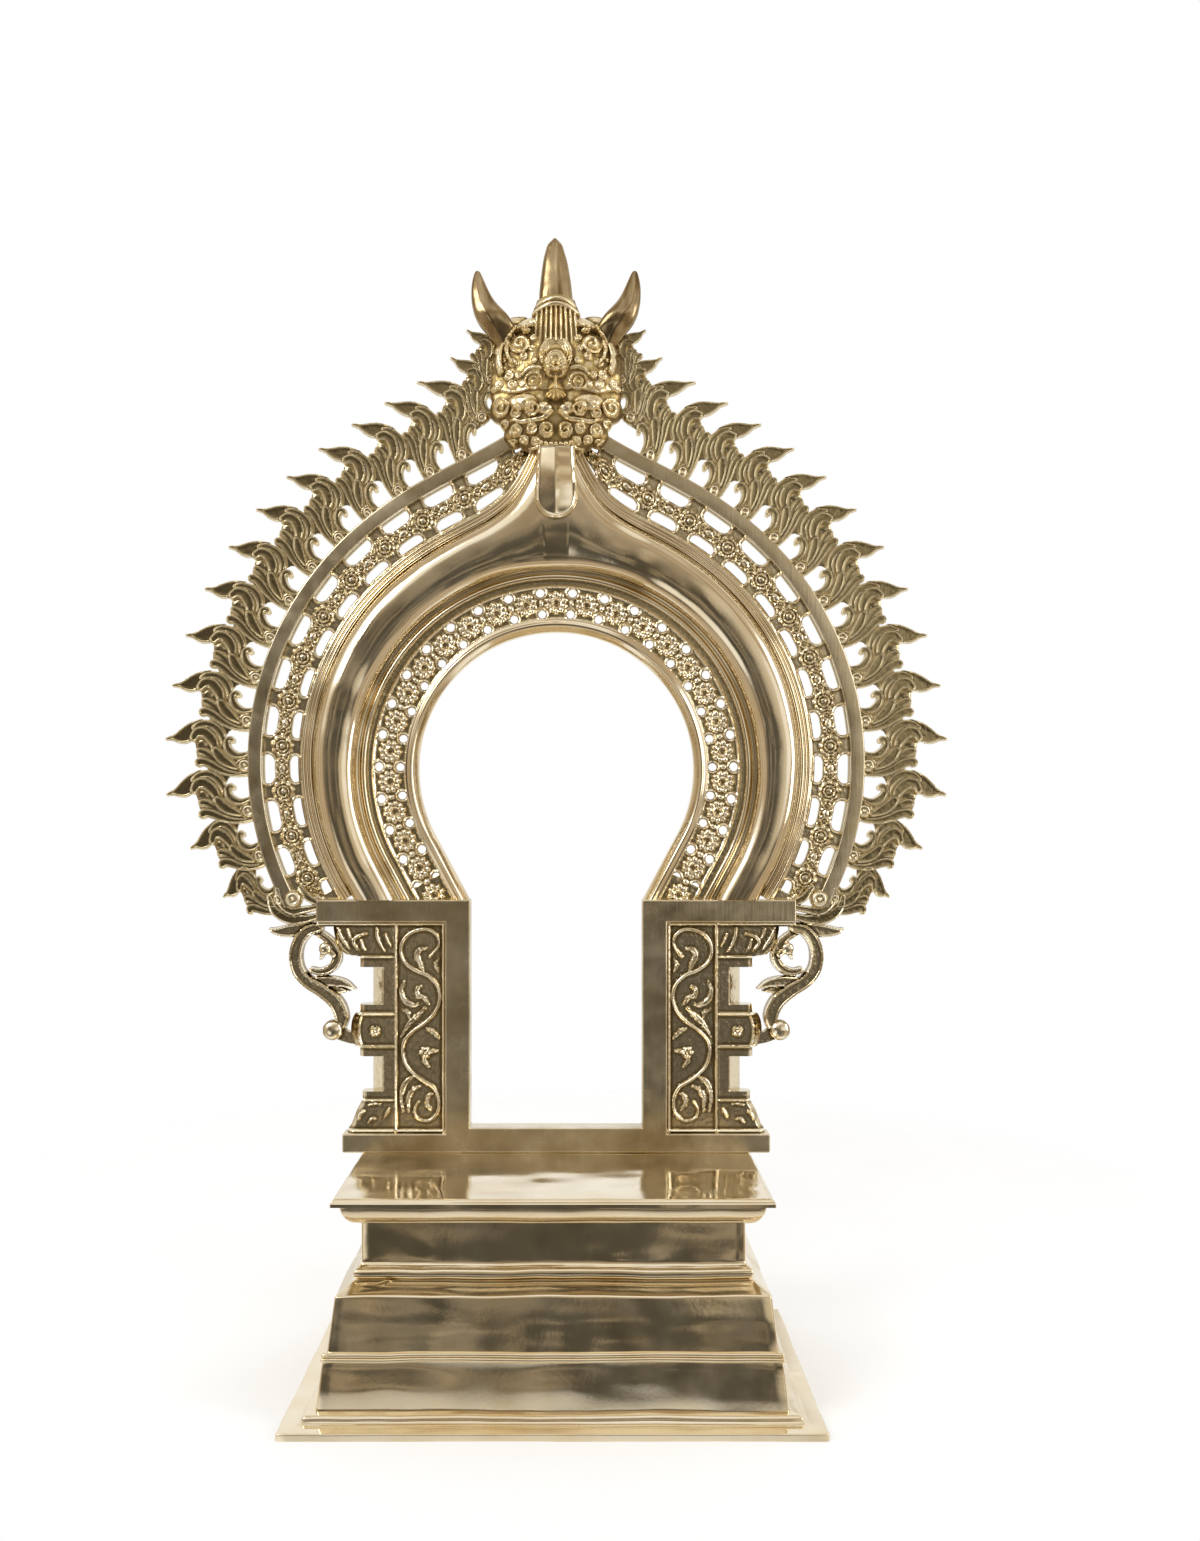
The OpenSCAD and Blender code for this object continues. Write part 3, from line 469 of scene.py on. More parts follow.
def polished_brass(name, stretch):
    """Bright polished brass with hand-polished waves, faint stains and hair scratches."""
    paint, tree, shader = new_paint(name)
    colour = ramp(tree, noise(tree, 26.0, 5.0), [(0.3, WARM), (0.6, PALE)])
    rough = remap(tree, noise(tree, 55.0, 4.0), 0.3, 0.75, 0.06, 0.17)
    coat(tree, shader, colour, rough,
         [(noise(tree, 22.0, 1.0, stretch), 0.0022), (noise(tree, 420.0, 4.0), 0.00002)])
    return paint


def carved_brass(name, colours, rough, smooth_rough, even=True):
    """Carved brass, coloured from its hollows to its ridges as painted shade and painted highlight.
    Its roughness falls evenly from hollow to ridge, or else hollows and ridges are rough and what is level
    is smooth."""
    paint, tree, shader = new_paint(name)
    wear_and_shade = wear_and_shade_socket(tree)
    # Colour follows the relief: painted shade and painted highlight
    colour = ramp(tree, remap(tree, wear_and_shade, -0.8, 0.6, 0.0, 1.0), colours)
    if even:
        coarse = remap(tree, wear_and_shade, -0.6, 0.3, rough, smooth_rough)
    else:
        off = tree.nodes.new("ShaderNodeMath")
        off.operation = "ABSOLUTE"
        tree.links.new(wear_and_shade, off.inputs[0])
        coarse = remap(tree, off.outputs[0], 0.1, 0.4, smooth_rough, rough)
    coat(tree, shader, colour, coarse,
         [(noise(tree, 260.0, 3.0), 0.0003), (noise(tree, 1500.0, 2.0), 0.00004)])
    return paint


def brushed_brass():
    """Flat bars with faint lengthwise brushing, duller than the polished rolls."""
    paint, tree, shader = new_paint("brushed_brass")
    colour = ramp(tree, noise(tree, 34.0, 5.0), [(0.3, (0.52, 0.43, 0.27)), (0.68, (0.8, 0.71, 0.53))])
    rough = remap(tree, noise(tree, 80.0, 5.0), 0.3, 0.7, 0.15, 0.3)
    coat(tree, shader, colour, rough,
         [(noise(tree, 20.0, 1.0), 0.0012), (noise(tree, 500.0, 3.0, (1.0, 1.0, 0.08)), 0.00008)])
    return paint


def horn_brass():
    """Brass of the horns: darker, as painted shade in place of dimmer reflections at their sides, with fine
    streaks that run up the horn.
    """
    paint, tree, shader = new_paint("horn_brass")
    streak = noise(tree, 160.0, 4.0, (1.0, 1.0, 0.06))
    # Dark colours: painted shade in place of dimmer reflections
    colour = ramp(tree, streak, [(0.3, (0.22, 0.155, 0.075)), (0.72, (0.52, 0.4, 0.235)),
                                 (0.5, (0.35, 0.255, 0.135))])
    rough = remap(tree, streak, 0.3, 0.7, 0.16, 0.28)
    coat(tree, shader, colour, rough, [(streak, 0.0002), (noise(tree, 40.0, 2.0), 0.0012)])
    return paint


def raw_brass():
    """The cast back and underside: rough, yellow-brown and pitted."""
    paint, tree, shader = new_paint("raw_brass")
    colour = ramp(tree, noise(tree, 45.0, 6.0), [(0.3, DARK), (0.7, DULL)])
    tree.links.new(colour, shader.inputs["Base Color"])
    shader.inputs["Roughness"].default_value = 0.48
    uneven(tree, shader, [(noise(tree, 130.0, 5.0), 0.0008), (noise(tree, 700.0, 2.0), 0.0001)])
    return paint


POLISHED = polished_brass("polished_brass", (1.0, 1.0, 1.0))
BLOTCHED = polished_brass("blotched_brass", (0.55, 0.55, 1.7))
BRUSHED, RAW, HORN = brushed_brass(), raw_brass(), horn_brass()
# Pale colour of the ridges: a painted highlight
PAINTED_RIDGE_HIGHLIGHT = (0.97, 0.9, 0.72)
# Carved brass: dark hollows as painted shade, pale ridges as painted highlight
CARVED = carved_brass(
    "carved_brass", [(0.0, DARK), (1.0, PAINTED_RIDGE_HIGHLIGHT), (0.42, (0.5, 0.42, 0.25)), (0.64, PALE)], 0.24, 0.1)
# Flame brass: level lobes dark as a painted reflection of a dark room, raised lines pale as a painted
# highlight, hollows a plain gold
FLAMED = carved_brass(
    "flame_brass", [(0.0, (0.8, 0.68, 0.42)), (1.0, PAINTED_RIDGE_HIGHLIGHT), (0.36, (0.7, 0.58, 0.34)),
                    (0.5, (0.34, 0.285, 0.165)), (0.62, (0.42, 0.35, 0.21)), (0.7, PALE)],
    0.44, 0.1, False)
# Inlaid brass: dark hollows and ground as painted shade, pale ridges as painted highlight
INLAID = carved_brass(
    "inlaid_brass", [(0.0, DARK), (1.0, PAINTED_RIDGE_HIGHLIGHT), (0.42, (0.52, 0.44, 0.27)), (0.64, PALE)], 0.13, 0.09)
# Matted brass: dark hollows as painted shade, pale ridges as painted highlight
MATTED = carved_brass(
    "matted_brass", [(0.0, DARK), (1.0, (0.9, 0.78, 0.52)), (0.42, (0.66, 0.5, 0.21)), (0.64, WARM)],
    0.48, 0.26)


# Pedestal

def rounded(points, radius, steps=4):
    """Rounds the corners of an open line: a curve of second order from a radius before each."""
    p = np.asarray(points, float)
    corner = p[1:-1]

    def toward(other):
        """The point a radius away from each corner on the way to a neighbour."""
        way = other - corner
        size = np.linalg.norm(way, axis=1, keepdims=True)
        return corner + way / size * np.minimum(radius, 0.45 * size)

    start, end = toward(p[:-2]), toward(p[2:])
    t = np.linspace(0, 1, steps + 1)[None, :, None]
    curve = (1 - t) ** 2 * start[:, None] + 2 * t * (1 - t) * corner[:, None] + t**2 * end[:, None]
    return np.vstack([p[:1], curve.reshape(-1, 2), p[-1:]])


def arc(x, z, r, a0, a1, steps=10):
    """Points on an arc between two angles in degrees."""
    a = np.radians(np.linspace(a0, a1, steps + 1))
    return np.stack([x + r * np.cos(a), z + r * np.sin(a)], 1)


CORNER_R = 1.4
SIDE_STEPS = 48

# Inner walls of the courses and the neck's face, out from the slab's edge, and heights of joints
LOWER_WALL, UPPER_WALL, NECK_WALL, NECK_FACE = -0.8, -6.7, -20.1, -15.1
FOOT_TOP, UPPER_TOP, NECK_TOP, OVOLO_TOP, SLAB_T = 9.0, 75.9, 107.7, 120.0, 4.5


def round_the_slab(offset, height):
    """Points round a rectangle that stands out from the slab's edge: straight sides in steps and
    a small arc at each corner, for every (offset, height) of a section."""
    arc_turn = np.radians(np.linspace(0, 90, 5))
    side = np.linspace(1, -1, SIDE_STEPS)[1:-1]
    parts = []
    for k, (sx, sy) in enumerate(((1, 1), (-1, 1), (-1, -1), (1, -1))):
        turn = arc_turn + k * np.pi / 2
        parts.append([np.full(5, sx), np.full(5, sy), np.cos(turn), np.sin(turn)])
        along = side if k in (0, 1) else -side
        flat = np.ones_like(side)
        nx, ny = round(math.cos((k + 1) * math.pi / 2)), round(math.sin((k + 1) * math.pi / 2))
        parts.append([along if ny else flat * nx, along if nx else flat * ny, flat * nx, flat * ny])
    ax, ay, cx, cy = (np.concatenate(q)[:, None] for q in zip(*parts))
    x = ax * (SLAB_W / 2 + offset - CORNER_R) + CORNER_R * cx
    y = ay * (SLAB_D / 2 + offset - CORNER_R) + CORNER_R * cy
    z = np.broadcast_to(height, x.shape)
    wave = 0.42 * ripple(x + 1.7 * y, z * 1.6, 95.0, 5) + 0.18 * ripple(x - y, z * 2.0, 34.0, 6)
    free = smooth(z / 9.0) * smooth((112.0 - z) / 9.0)
    lift = free * (0.55 * ripple(x - 1.3 * y, z, 80.0, 7) + 0.25 * ripple(x + y, z, 31.0, 8))
    return np.stack([x + wave * cx, y + wave * cy, z + lift], -1)


def course(name, node, outer, inner):
    """One hollow course: the outer section goes up and the inner one down, swept round the slab."""
    ring = np.vstack([outer, inner])
    points = round_the_slab(ring[:, 0], ring[:, 1])
    paint = np.zeros((points.shape[0], len(ring)), int)
    paint[:, len(outer):] = BACK
    shell = Shell()
    shell.grid(points, True, True, paint.ravel())
    shell.build(name, [BLOTCHED, RAW], "pedestal", [node], "polished_brass")


course("foot_piece", "foot_plate",
       np.vstack([rounded([(25.8, 0.0), (25.8, 4.0), (16.4, 4.5), (14.4, 5.2)], 0.9),
                  arc(11.3, 6.5, 2.5, -10, 85), [(7.2, FOOT_TOP)]]),
       np.array([(LOWER_WALL, FOOT_TOP), (LOWER_WALL, 0.0)]))
course("lower_piece", "lower_course",
       np.vstack([[(7.0, FOOT_TOP), (6.6, 12.5), (4.7, 31.0), (4.2, 34.6)],
                  arc(4.0, 36.25, 1.3, -80, 70, 7), arc(3.6, 38.75, 1.3, -70, 80, 7), [(2.2, 40.2)]]),
       np.array([(UPPER_WALL, 40.2), (UPPER_WALL, 35.0), (LOWER_WALL, 35.0), (LOWER_WALL, FOOT_TOP)]))
course("upper_piece", "upper_course",
       rounded([(2.0, 40.0), (0.2, 55.0), (-1.7, 69.6), (-7.0, 73.0), (-10.9, UPPER_TOP)], 1.0),
       np.array([(NECK_WALL, UPPER_TOP), (NECK_WALL, 64.8), (UPPER_WALL, 64.8), (UPPER_WALL, 40.0)]))
course("neck_piece", "neck_course",
       np.vstack([arc(-14.15, 79.35, 3.45, -80, 72),
                  spline([(-13.4, 83.0), (-14.7, 84.6), (NECK_FACE, 87.2), (NECK_FACE, 98.0),
                          (NECK_FACE, NECK_TOP)], 4)]),
       np.array([(NECK_WALL, NECK_TOP), (NECK_WALL, UPPER_TOP)]))


def within(u, v, u0, u1, v0, v1):
    """How far a point lies inside a rectangle."""
    return np.minimum(np.minimum(u - u0, u1 - u), np.minimum(v - v0, v1 - v))


def slab():
    """The flat slab with a soft edge and two slots, and the hollow ovolo ring under it."""
    edge = np.array([-0.5, 0.05, 0.15, 0.35, 0.7, 1.1, 1.6, 2.2, 2.9, 4.0])
    slot_gap, close, step, soft = 0.4, 0.2, 5.0, 2.7
    low, high = (np.array(corner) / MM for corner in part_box("right_tenon"))
    low, high = low - slot_gap, high + slot_gap

    def lines(half, slot):
        """Grid lines across the slab, close together at its edges and at the edges of a slot."""
        inner = np.linspace(edge[-1] - half, half - edge[-1], int(2 * half / step))[1:-1]
        near = np.array([k + d for k in slot for d in (-close, close)])
        return np.unique(np.concatenate([half - edge, inner, edge - half, near]))

    across = [low[0], high[0], -low[0], -high[0]]
    u, v = np.meshgrid(lines(SLAB_W / 2, across), lines(SLAB_D / 2, [low[1], high[1]]))
    inside = np.minimum(SLAB_W / 2 - abs(u), SLAB_D / 2 - abs(v))
    fall = soft - np.sqrt(np.clip(soft**2 - np.clip(soft - inside, 0, soft) ** 2, 0, None))
    slots = within(abs(u), v, low[0], high[0], low[1], high[1])
    values, faces, outline = trace(np.minimum(inside, -slots), u, v, -fall)
    shell = Shell()

    def place(x, y, h):
        """A point of the slab at a height over its top."""
        return np.stack([x, y, SLAB_Z + h], -1)

    shell.relief(place, *values, values[2] * 0, faces, outline, -SLAB_T)
    turn = np.radians(np.linspace(0, 90, 13))
    tall = OVOLO_TOP - NECK_TOP
    outer = np.stack([NECK_FACE + 11.1 * np.sin(turn), NECK_TOP + tall * (1 - np.cos(turn))], 1)
    ring = np.vstack([outer, [(NECK_WALL, OVOLO_TOP), (NECK_WALL, NECK_TOP)]])
    shell.grid(round_the_slab(ring[:, 0], ring[:, 1]), True, True)
    shell.build("slab_piece", [POLISHED, RAW], "pedestal", ["top_slab"], "polished_brass")


slab()


# Frame

def bars():
    """Sill, jambs and caps: one outline, front and back, with softened edges."""
    right = [(SILL_HALF, 0.0), (SILL_HALF, SILL_H), (PANEL_IN, SILL_H), (PANEL_IN, CAP_LOW),
             (CAP_HALF, CAP_LOW), (CAP_HALF, CAP_TOP), (DOOR_HALF, CAP_TOP), (DOOR_HALF, STEP_H)]
    outline = np.array(right + [(-x, z) for x, z in right[::-1]])
    n = len(outline)
    front = np.stack([outline[:, 0], np.full(n, Y_FRONT), outline[:, 1] + SLAB_Z], 1)
    rear = front + [0, Y_BACK - Y_FRONT, 0]
    p = np.arange(n)
    q = (p + 1) % n
    shell = Shell()
    sides = np.stack([p, p + n, q + n, q], 1)
    shell.add(np.vstack([front, rear]), [p[None], (p + n)[None, ::-1], sides])
    piece = shell.build("frame_piece", [BRUSHED], "arch", ["keyhole_frame"], "brushed_brass", 20.0)
    soft = piece.modifiers.new("soft_edges", "BEVEL")
    soft.width = 0.0011
    soft.segments = 3
    soft.limit_method = "ANGLE"
    soft.harden_normals = True


bars()


def both_sides(shell, name, node, slot, paints, sharp=38.0):
    """Builds a right-hand piece and its mirror image on the left."""
    shell.build("right_" + name, paints, "arch", ["right_" + node], slot, sharp)
    shell.mirrored().build("left_" + name, paints, "arch", ["left_" + node], slot, sharp)


def upright(x0, z0, back):
    """Places a carved plate that stands upright: across, up, and out from a back plane."""
    def place(u, v, h):
        """A point of the plate at a height over its back plane."""
        return np.stack([x0 + u, back - h, z0 + v], -1)
    return place


def mesh_lines(low, high, step):
    """Grid lines from low to high at about a step."""
    return np.linspace(low, high, int((high - low) / step) + 1)


def finish_relief(relief, place, back=0.0, reach=4, shell=None, soft=0.8, turned=False):
    """Rolls the outline's edge off, works out the share of wear and of painted shade and highlight, and
    adds the plate to a shell.
    """
    shell = shell or Shell()
    height = relief.height - relief.fall - rolled_off(relief.inside, soft, ROLL_OFF * soft)
    wear_and_shade = wear_and_shade_share(relief.height, relief.inside, reach)
    values, faces, outline = trace(relief.inside, relief.u, relief.v, height, wear_and_shade)
    shell.relief(place, *values, faces, outline, back, turned)
    return shell


def vine(relief):
    """The vine of a panel: a stem that winds from side to side with curled leaves in its bends."""
    stem = [(10.0, 112.5, 1.2), (4.4, 119.5, 1.3), (5.7, 126.5, 1.4), (11.9, 130.2, 1.5),
            (21.0, 128.5, 1.6), (27.2, 122.9, 1.6), (28.8, 115.0, 1.5), (25.6, 108.3, 1.5),
            (18.8, 103.5, 1.5), (10.8, 100.1, 1.5), (5.0, 93.3, 1.6), (3.7, 85.3, 1.6), (6.5, 77.4, 1.5),
            (13.1, 70.5, 1.5), (21.0, 64.9, 1.5), (26.6, 58.1, 1.6), (27.4, 50.1, 1.6), (24.9, 42.7, 1.5),
            (19.8, 37.0, 1.5), (14.1, 32.8, 1.5), (7.5, 28.5, 1.6), (4.2, 20.6, 1.6), (5.4, 12.6, 1.5),
            (11.1, 7.6, 1.4), (17.8, 9.2, 1.3), (20.0, 14.9, 1.2), (17.1, 19.9, 1.1)]
    leaves = [
        [(14.2, 102.5, 0.9), (16.2, 108.0, 1.9), (18.3, 113.0, 2.2), (16.6, 117.0, 1.9),
         (12.8, 117.6, 1.0)],
        [(26.6, 96.5, 1.0), (28.6, 91.0, 1.8), (26.5, 84.6, 2.0), (21.0, 81.3, 1.7), (17.6, 81.9, 1.0)],
        [(10.8, 82.0, 0.9), (14.2, 86.4, 1.7), (17.6, 87.4, 2.0), (18.4, 91.4, 1.5), (15.6, 93.6, 0.9)],
        [(28.4, 61.4, 1.0), (23.3, 69.4, 1.8), (17.6, 75.0, 1.9), (13.0, 79.6, 1.0)],
        [(27.8, 79.0, 0.9), (24.0, 76.4, 1.5), (23.2, 73.0, 0.9)],
        [(10.8, 42.1, 0.9), (13.7, 46.6, 1.8), (11.0, 51.2, 2.0), (5.1, 52.3, 1.0)],
        [(4.0, 60.3, 0.9), (8.5, 64.8, 1.7), (12.0, 66.0, 0.9)],
        [(27.3, 13.7, 1.0), (28.4, 23.9, 1.9), (25.6, 31.9, 2.0), (19.9, 36.4, 1.0)],
        [(23.3, 13.7, 0.9), (23.9, 21.6, 1.8), (21.0, 27.3, 1.8), (16.5, 29.6, 0.9)],
        [(9.0, 14.5, 0.8), (11.8, 18.4, 1.7), (11.0, 23.4, 1.5), (8.0, 25.0, 0.8)],
        [(4.6, 103.0, 0.8), (6.4, 107.0, 1.6), (4.8, 111.0, 0.9)],
    ]
    ground = relief.height.copy()
    for leaf in leaves:
        share = relief.along(spline(leaf, 4) * (1, 1, 0.85))
        made = 1.3 * dome(share, 1.0) ** 0.7 - 0.55 * bump(share, 0.0, 0.3)
        relief.height = np.where(share < 1, ground + made, relief.height)
    share = relief.along(spline(stem, 4) * (1, 1, 0.74))
    made = 1.5 * dome(share, 1.0) ** 0.8
    relief.height = np.where(share < 1, np.maximum(ground + made, relief.height), relief.height)
    for k in range(7):
        turn = 2 * math.pi * k / 6
        far = 2.7 * (k < 6)
        seed = np.hypot(relief.u - 13.0 - far * math.cos(turn), relief.v - 51.0 - far * math.sin(turn))
        relief.height += 1.0 * dome(seed, 1.3)


def frame_lines(relief, lines):
    """Raises half-round border lines: (u0, v0, u1, v1, half width, rise) each."""
    for u0, v0, u1, v1, half, rise in lines:
        share = relief.along(np.array([(u0, v0, half), (u1, v1, half)]))
        relief.height = np.maximum(relief.height, PANEL_T - 1.0 + (rise + 1.0) * dome(share, 1.0))


def scroll_panels():
    """A vine on a lowered ground, inside a border of half-round lines."""
    u, v = np.meshgrid(mesh_lines(-0.3, PANEL_W + 0.3, 0.5), mesh_lines(-0.3, PANEL_TALL + 0.3, 0.5))
    relief = Relief(u, v, within(u, v, 0, PANEL_W, 0, PANEL_TALL), PANEL_T - 0.7)
    relief.height += 0.04 * grain(u.shape, 11, 1)
    vine(relief)
    side, top = PANEL_W - 1.1, PANEL_TALL - 1.2
    frame_lines(relief, [(1.2, 0, 1.2, PANEL_TALL, 1.3, 1.3), (side, 0, side, PANEL_TALL, 1.3, 1.3),
                         (0, 1.1, PANEL_W, 1.1, 1.3, 1.3), (0, top, PANEL_W, top, 1.4, 1.4)])
    shell = finish_relief(relief, upright(PANEL_IN, SLAB_Z + SILL_H, Y_BACK))
    both_sides(shell, "vine_piece", "scroll_panel", "carved_brass", [INLAID, RAW])


scroll_panels()


def pilasters():
    """A stepped pilaster: base, shafts, rounded block and leafy capital. Across each height it
    reaches a distance from the panel, and its outer edge is bevelled."""
    x0 = PANEL_IN + PANEL_W
    base_top, shaft_low, flange_low, drum_low = 20.7, 26.4, 48.2, 54.4
    drum_top, shaft_high, flange_high, cap_low = 76.0, 81.8, 105.5, 112.0
    wide, strip_h, ground = 49.2, 3.4, PANEL_T - 0.6
    u, v = np.meshgrid(mesh_lines(-0.4, 50.0, 0.5), mesh_lines(-0.4, PANEL_TALL + 0.4, 0.5))

    def between(low, high):
        """Where a point's height lies between two heights."""
        return (v > low) & (v < high)

    base = np.interp(v, [0.0, 2.2, 5.0, 8.4, 14.1, 19.0, 20.7], [30.0, 29.6, 27.6, 26.3, 24.1, 21.4, 20.5])
    block = 22.5 + 6.0 * dome(v - 65.2, 12.5)
    cap = np.interp(v, [112.0, 113.4, 117.5, 121.0, 130.0], [20.5, 31.0, 35.6, 37.8, 39.3])
    shaft = between(shaft_low, flange_low) | between(shaft_high, flange_high)
    drum = between(drum_low, drum_top)
    reach = np.select([v < base_top, v < shaft_low, shaft, drum, v < cap_low],
                      [base, 20.5, 14.7, block, 22.0], cap)
    plate = within(u, v, 0, wide, 0, PANEL_TALL)
    strip = within(u, v, -9, wide, PANEL_TALL - strip_h, PANEL_TALL + 9)
    edge = reach - u
    inside = np.maximum(np.minimum(plate, edge), np.minimum(strip, plate))
    relief = Relief(u, v, inside, ground)
    relief.fall = np.where(shaft, 9.6 * np.clip((u - 7.0) / 7.7, 0, 1), 0.0)
    relief.fall += np.where(drum, 1.1 * np.clip(5.2 - edge, 0, None), 0.0)
    relief.height += np.where(drum, 1.1 * bump(edge, 5.9, 0.6), 0.0)
    flange = between(flange_low, drum_low) | between(drum_top, shaft_high)
    flange |= between(base_top, shaft_low) | between(flange_high, cap_low)
    capital = between(cap_low, PANEL_TALL - strip_h)
    for where, drop, run in ((flange, 2.6, 2.6), (v < base_top, 3.0, 3.4), (capital, 3.0, 3.0)):
        relief.fall += np.where(where, drop * (1 - smooth(edge / run)), 0.0)
    relief.ringed(12.2, 64.6, 3.4, 1.0, 1.5, 1.0)
    strokes = [
        [(36.0, 131.0, 0.8), (33.4, 124.6, 1.2), (28.5, 117.6, 0.7)],
        [(17.6, 127.4, 0.8), (23.8, 125.2, 1.2), (26.0, 121.4, 1.2), (22.4, 116.9, 0.7)],
        [(21.4, 123.4, 0.7), (20.0, 119.1, 1.1), (18.4, 116.4, 0.6)],
        [(11.1, 131.0, 0.8), (10.4, 124.2, 1.2), (6.0, 116.2, 0.7)],
        [(30.0, 130.6, 0.7), (28.8, 126.4, 1.0), (26.6, 123.4, 0.6)],
        [(5.6, 127.0, 0.7), (4.4, 123.6, 1.0), (1.9, 119.1, 0.6)],
        [(16.2, 17.6, 0.6), (12.5, 18.6, 0.9), (8.9, 18.2, 0.6)],
        [(6.0, 9.6, 0.6), (4.4, 13.0, 1.1), (2.6, 15.5, 0.6)],
        [(22.6, 8.4, 0.6), (21.6, 11.5, 1.1), (19.0, 13.6, 0.6)],
        [(16.4, 6.2, 0.6), (14.4, 8.8, 1.0), (11.6, 8.6, 0.6)],
    ]
    for stroke in strokes:
        share = relief.along(spline(stroke, 4))
        relief.height = np.where(share < 1, ground + 1.5 * dome(share, 1.0) ** 0.8, relief.height)
    top = PANEL_TALL - 1.2
    frame_lines(relief, [(0, 1.1, 30.0, 1.1, 1.3, 1.3), (0, top, wide, top, 1.4, 1.4),
                         (0, 20.7, 20.0, 20.7, 0.9, 0.9), (0, 112.2, 21.0, 112.2, 0.9, 0.9),
                         (0, 55.0, 23.4, 55.0, 1.1, 1.1), (0, 75.7, 23.4, 75.7, 1.1, 1.1)])
    shell = finish_relief(relief, upright(x0, SLAB_Z + SILL_H, Y_BACK))
    both_sides(shell, "pilaster_piece", "pilaster", "carved_brass", [INLAID, RAW])


pilasters()


def brackets():
    """A pierced S-scroll: a dished band that ends in a ball, with an inner curl, a pointed leaf and
    a small leaf at its top."""
    u, v = np.meshgrid(mesh_lines(-28, 34, 0.45), mesh_lines(-80, 2, 0.45))
    relief = Relief(u, v)
    thick = 7.2
    for tall, rim, line, path in (
            (0.8, 0.9, 1.0, [(2.0, -3.6, 3.6), (13.0, -5.6, 4.6), (21.0, -6.6, 4.2), (28.0, -6.6, 2.6),
                             (31.6, -5.0, 0.9)]),
            (0.75, 0.8, 0.6, [(-5.0, -42.0, 1.8), (-13.0, -44.4, 2.4), (-20.0, -45.0, 0.7)]),
            (0.9, 0.9, 0.6, [(0.0, -38.4, 3.2), (-9.0, -38.8, 3.6), (-17.0, -40.2, 2.8),
                             (-23.6, -43.6, 0.8)]),
            (0.9, 1.1, 0.9, [(4.0, -31.6, 2.4), (-1.0, -32.8, 2.8), (-7.4, -30.8, 3.2),
                             (-11.6, -25.4, 3.4), (-11.4, -18.6, 3.2), (-6.0, -11.6, 3.0),
                             (2.0, -6.4, 2.8)]),
            (1.0, 0.9, 0.6, [(-1.6, -24.4, 0.8), (-3.6, -19.6, 2.4), (-7.0, -19.0, 2.4),
                             (-10.0, -21.6, 2.2)]),
            (1.0, 1.4, 1.0, [(0.0, -4.4, 3.6), (6.6, -6.2, 4.0), (12.2, -12.4, 4.3), (14.6, -21.0, 4.5),
                             (13.2, -30.8, 4.5), (7.2, -38.6, 4.5), (-2.6, -44.8, 4.8),
                             (-11.0, -52.0, 5.1), (-15.0, -61.0, 4.9), (-14.0, -69.0, 3.6)])):
        relief.ribbon(path, thick * tall, rim, line)
    web = [(-10.0, -74.5), (-15.5, -69.0), (-20.0, -71.0), (-25.5, -73.5), (-25.5, -79.0), (-19.0, -78.6),
           (-13.0, -76.6)]
    relief.blot(spline(web, 5, True), thick * 0.7)
    relief.knob(-4.4, -17.6, 4.0, 2.6, thick - 1.0)
    relief.knob(-9.2, -70.1, 6.5, 3.8, thick - 2.0)
    shell = finish_relief(relief, upright(CAP_HALF, SLAB_Z + CAP_LOW, Y_BACK - 1.0))
    both_sides(shell, "scroll_piece", "scroll_bracket", "carved_brass", [INLAID, RAW])


brackets()


# Horseshoe

def ring_place(radius, angle):
    """A point of the arch at a radius and an angle in degrees from the top, across and up."""
    turn = np.radians(angle)
    return radius * np.sin(turn), RING_Z + radius * np.cos(turn)


def bead_line(t):
    """Radius of the fine beads: a circle with a raised middle that sweeps up to the ogee point."""
    return 159.6 + 4.8 * np.cos(np.radians(t)) + 80.0 * np.exp(-abs(t) / 5.4)


def rim_line(t):
    """Radius of the plain rim: a circle with a raised middle and a softer rise at the top."""
    return RIM_R + 4.8 * np.cos(np.radians(t)) + 36.0 * np.exp(-abs(t) / 9.0)


def hoop(section, arc_steps=150, leg_steps=14):
    """Sweeps a section round the horseshoe and down its legs. The section is a function of the
    angle from the top and gives (radius, out) rows; the legs run straight down to the shoulders."""
    share = np.linspace(-1, 1, 2 * arc_steps + 1)
    angle = LEG_ANGLE * np.sign(share) * abs(share) ** 1.25
    leg = np.arange(1, leg_steps + 1) / leg_steps
    angle = np.concatenate([np.full(leg_steps, -LEG_ANGLE), angle, np.full(leg_steps, LEG_ANGLE)])
    down = np.concatenate([leg[::-1], np.zeros(2 * arc_steps + 1), leg])
    radius, out = section(angle[:, None])
    turn = np.radians(angle)[:, None]
    x, z = radius * np.sin(turn), radius * np.cos(turn)
    lean = math.radians(LEG_ANGLE)
    run = down[:, None] * (z - DROP) / math.sin(lean)
    side = np.sign(angle)[:, None]
    x = x + side * run * math.cos(lean)
    z = z - run * math.sin(lean)
    return np.stack([x, Y_PLATE - out + 0 * x, RING_Z + z], -1)


def swept(points, paint=FRONT):
    """A shell from a closed section swept along a line, with both ends closed."""
    shell = Shell()
    shell.grid(points, False, True, paint, turned=True)
    shell.cap(points[0])
    shell.cap(points[-1], True)
    return shell


def fixed_section(rows):
    """A section that is the same at every angle."""
    rows = np.asarray(rows, float)

    def section(angle):
        """The same rows for each angle."""
        return rows[:, 0] + 0 * angle, rows[:, 1] + 0 * angle
    return section


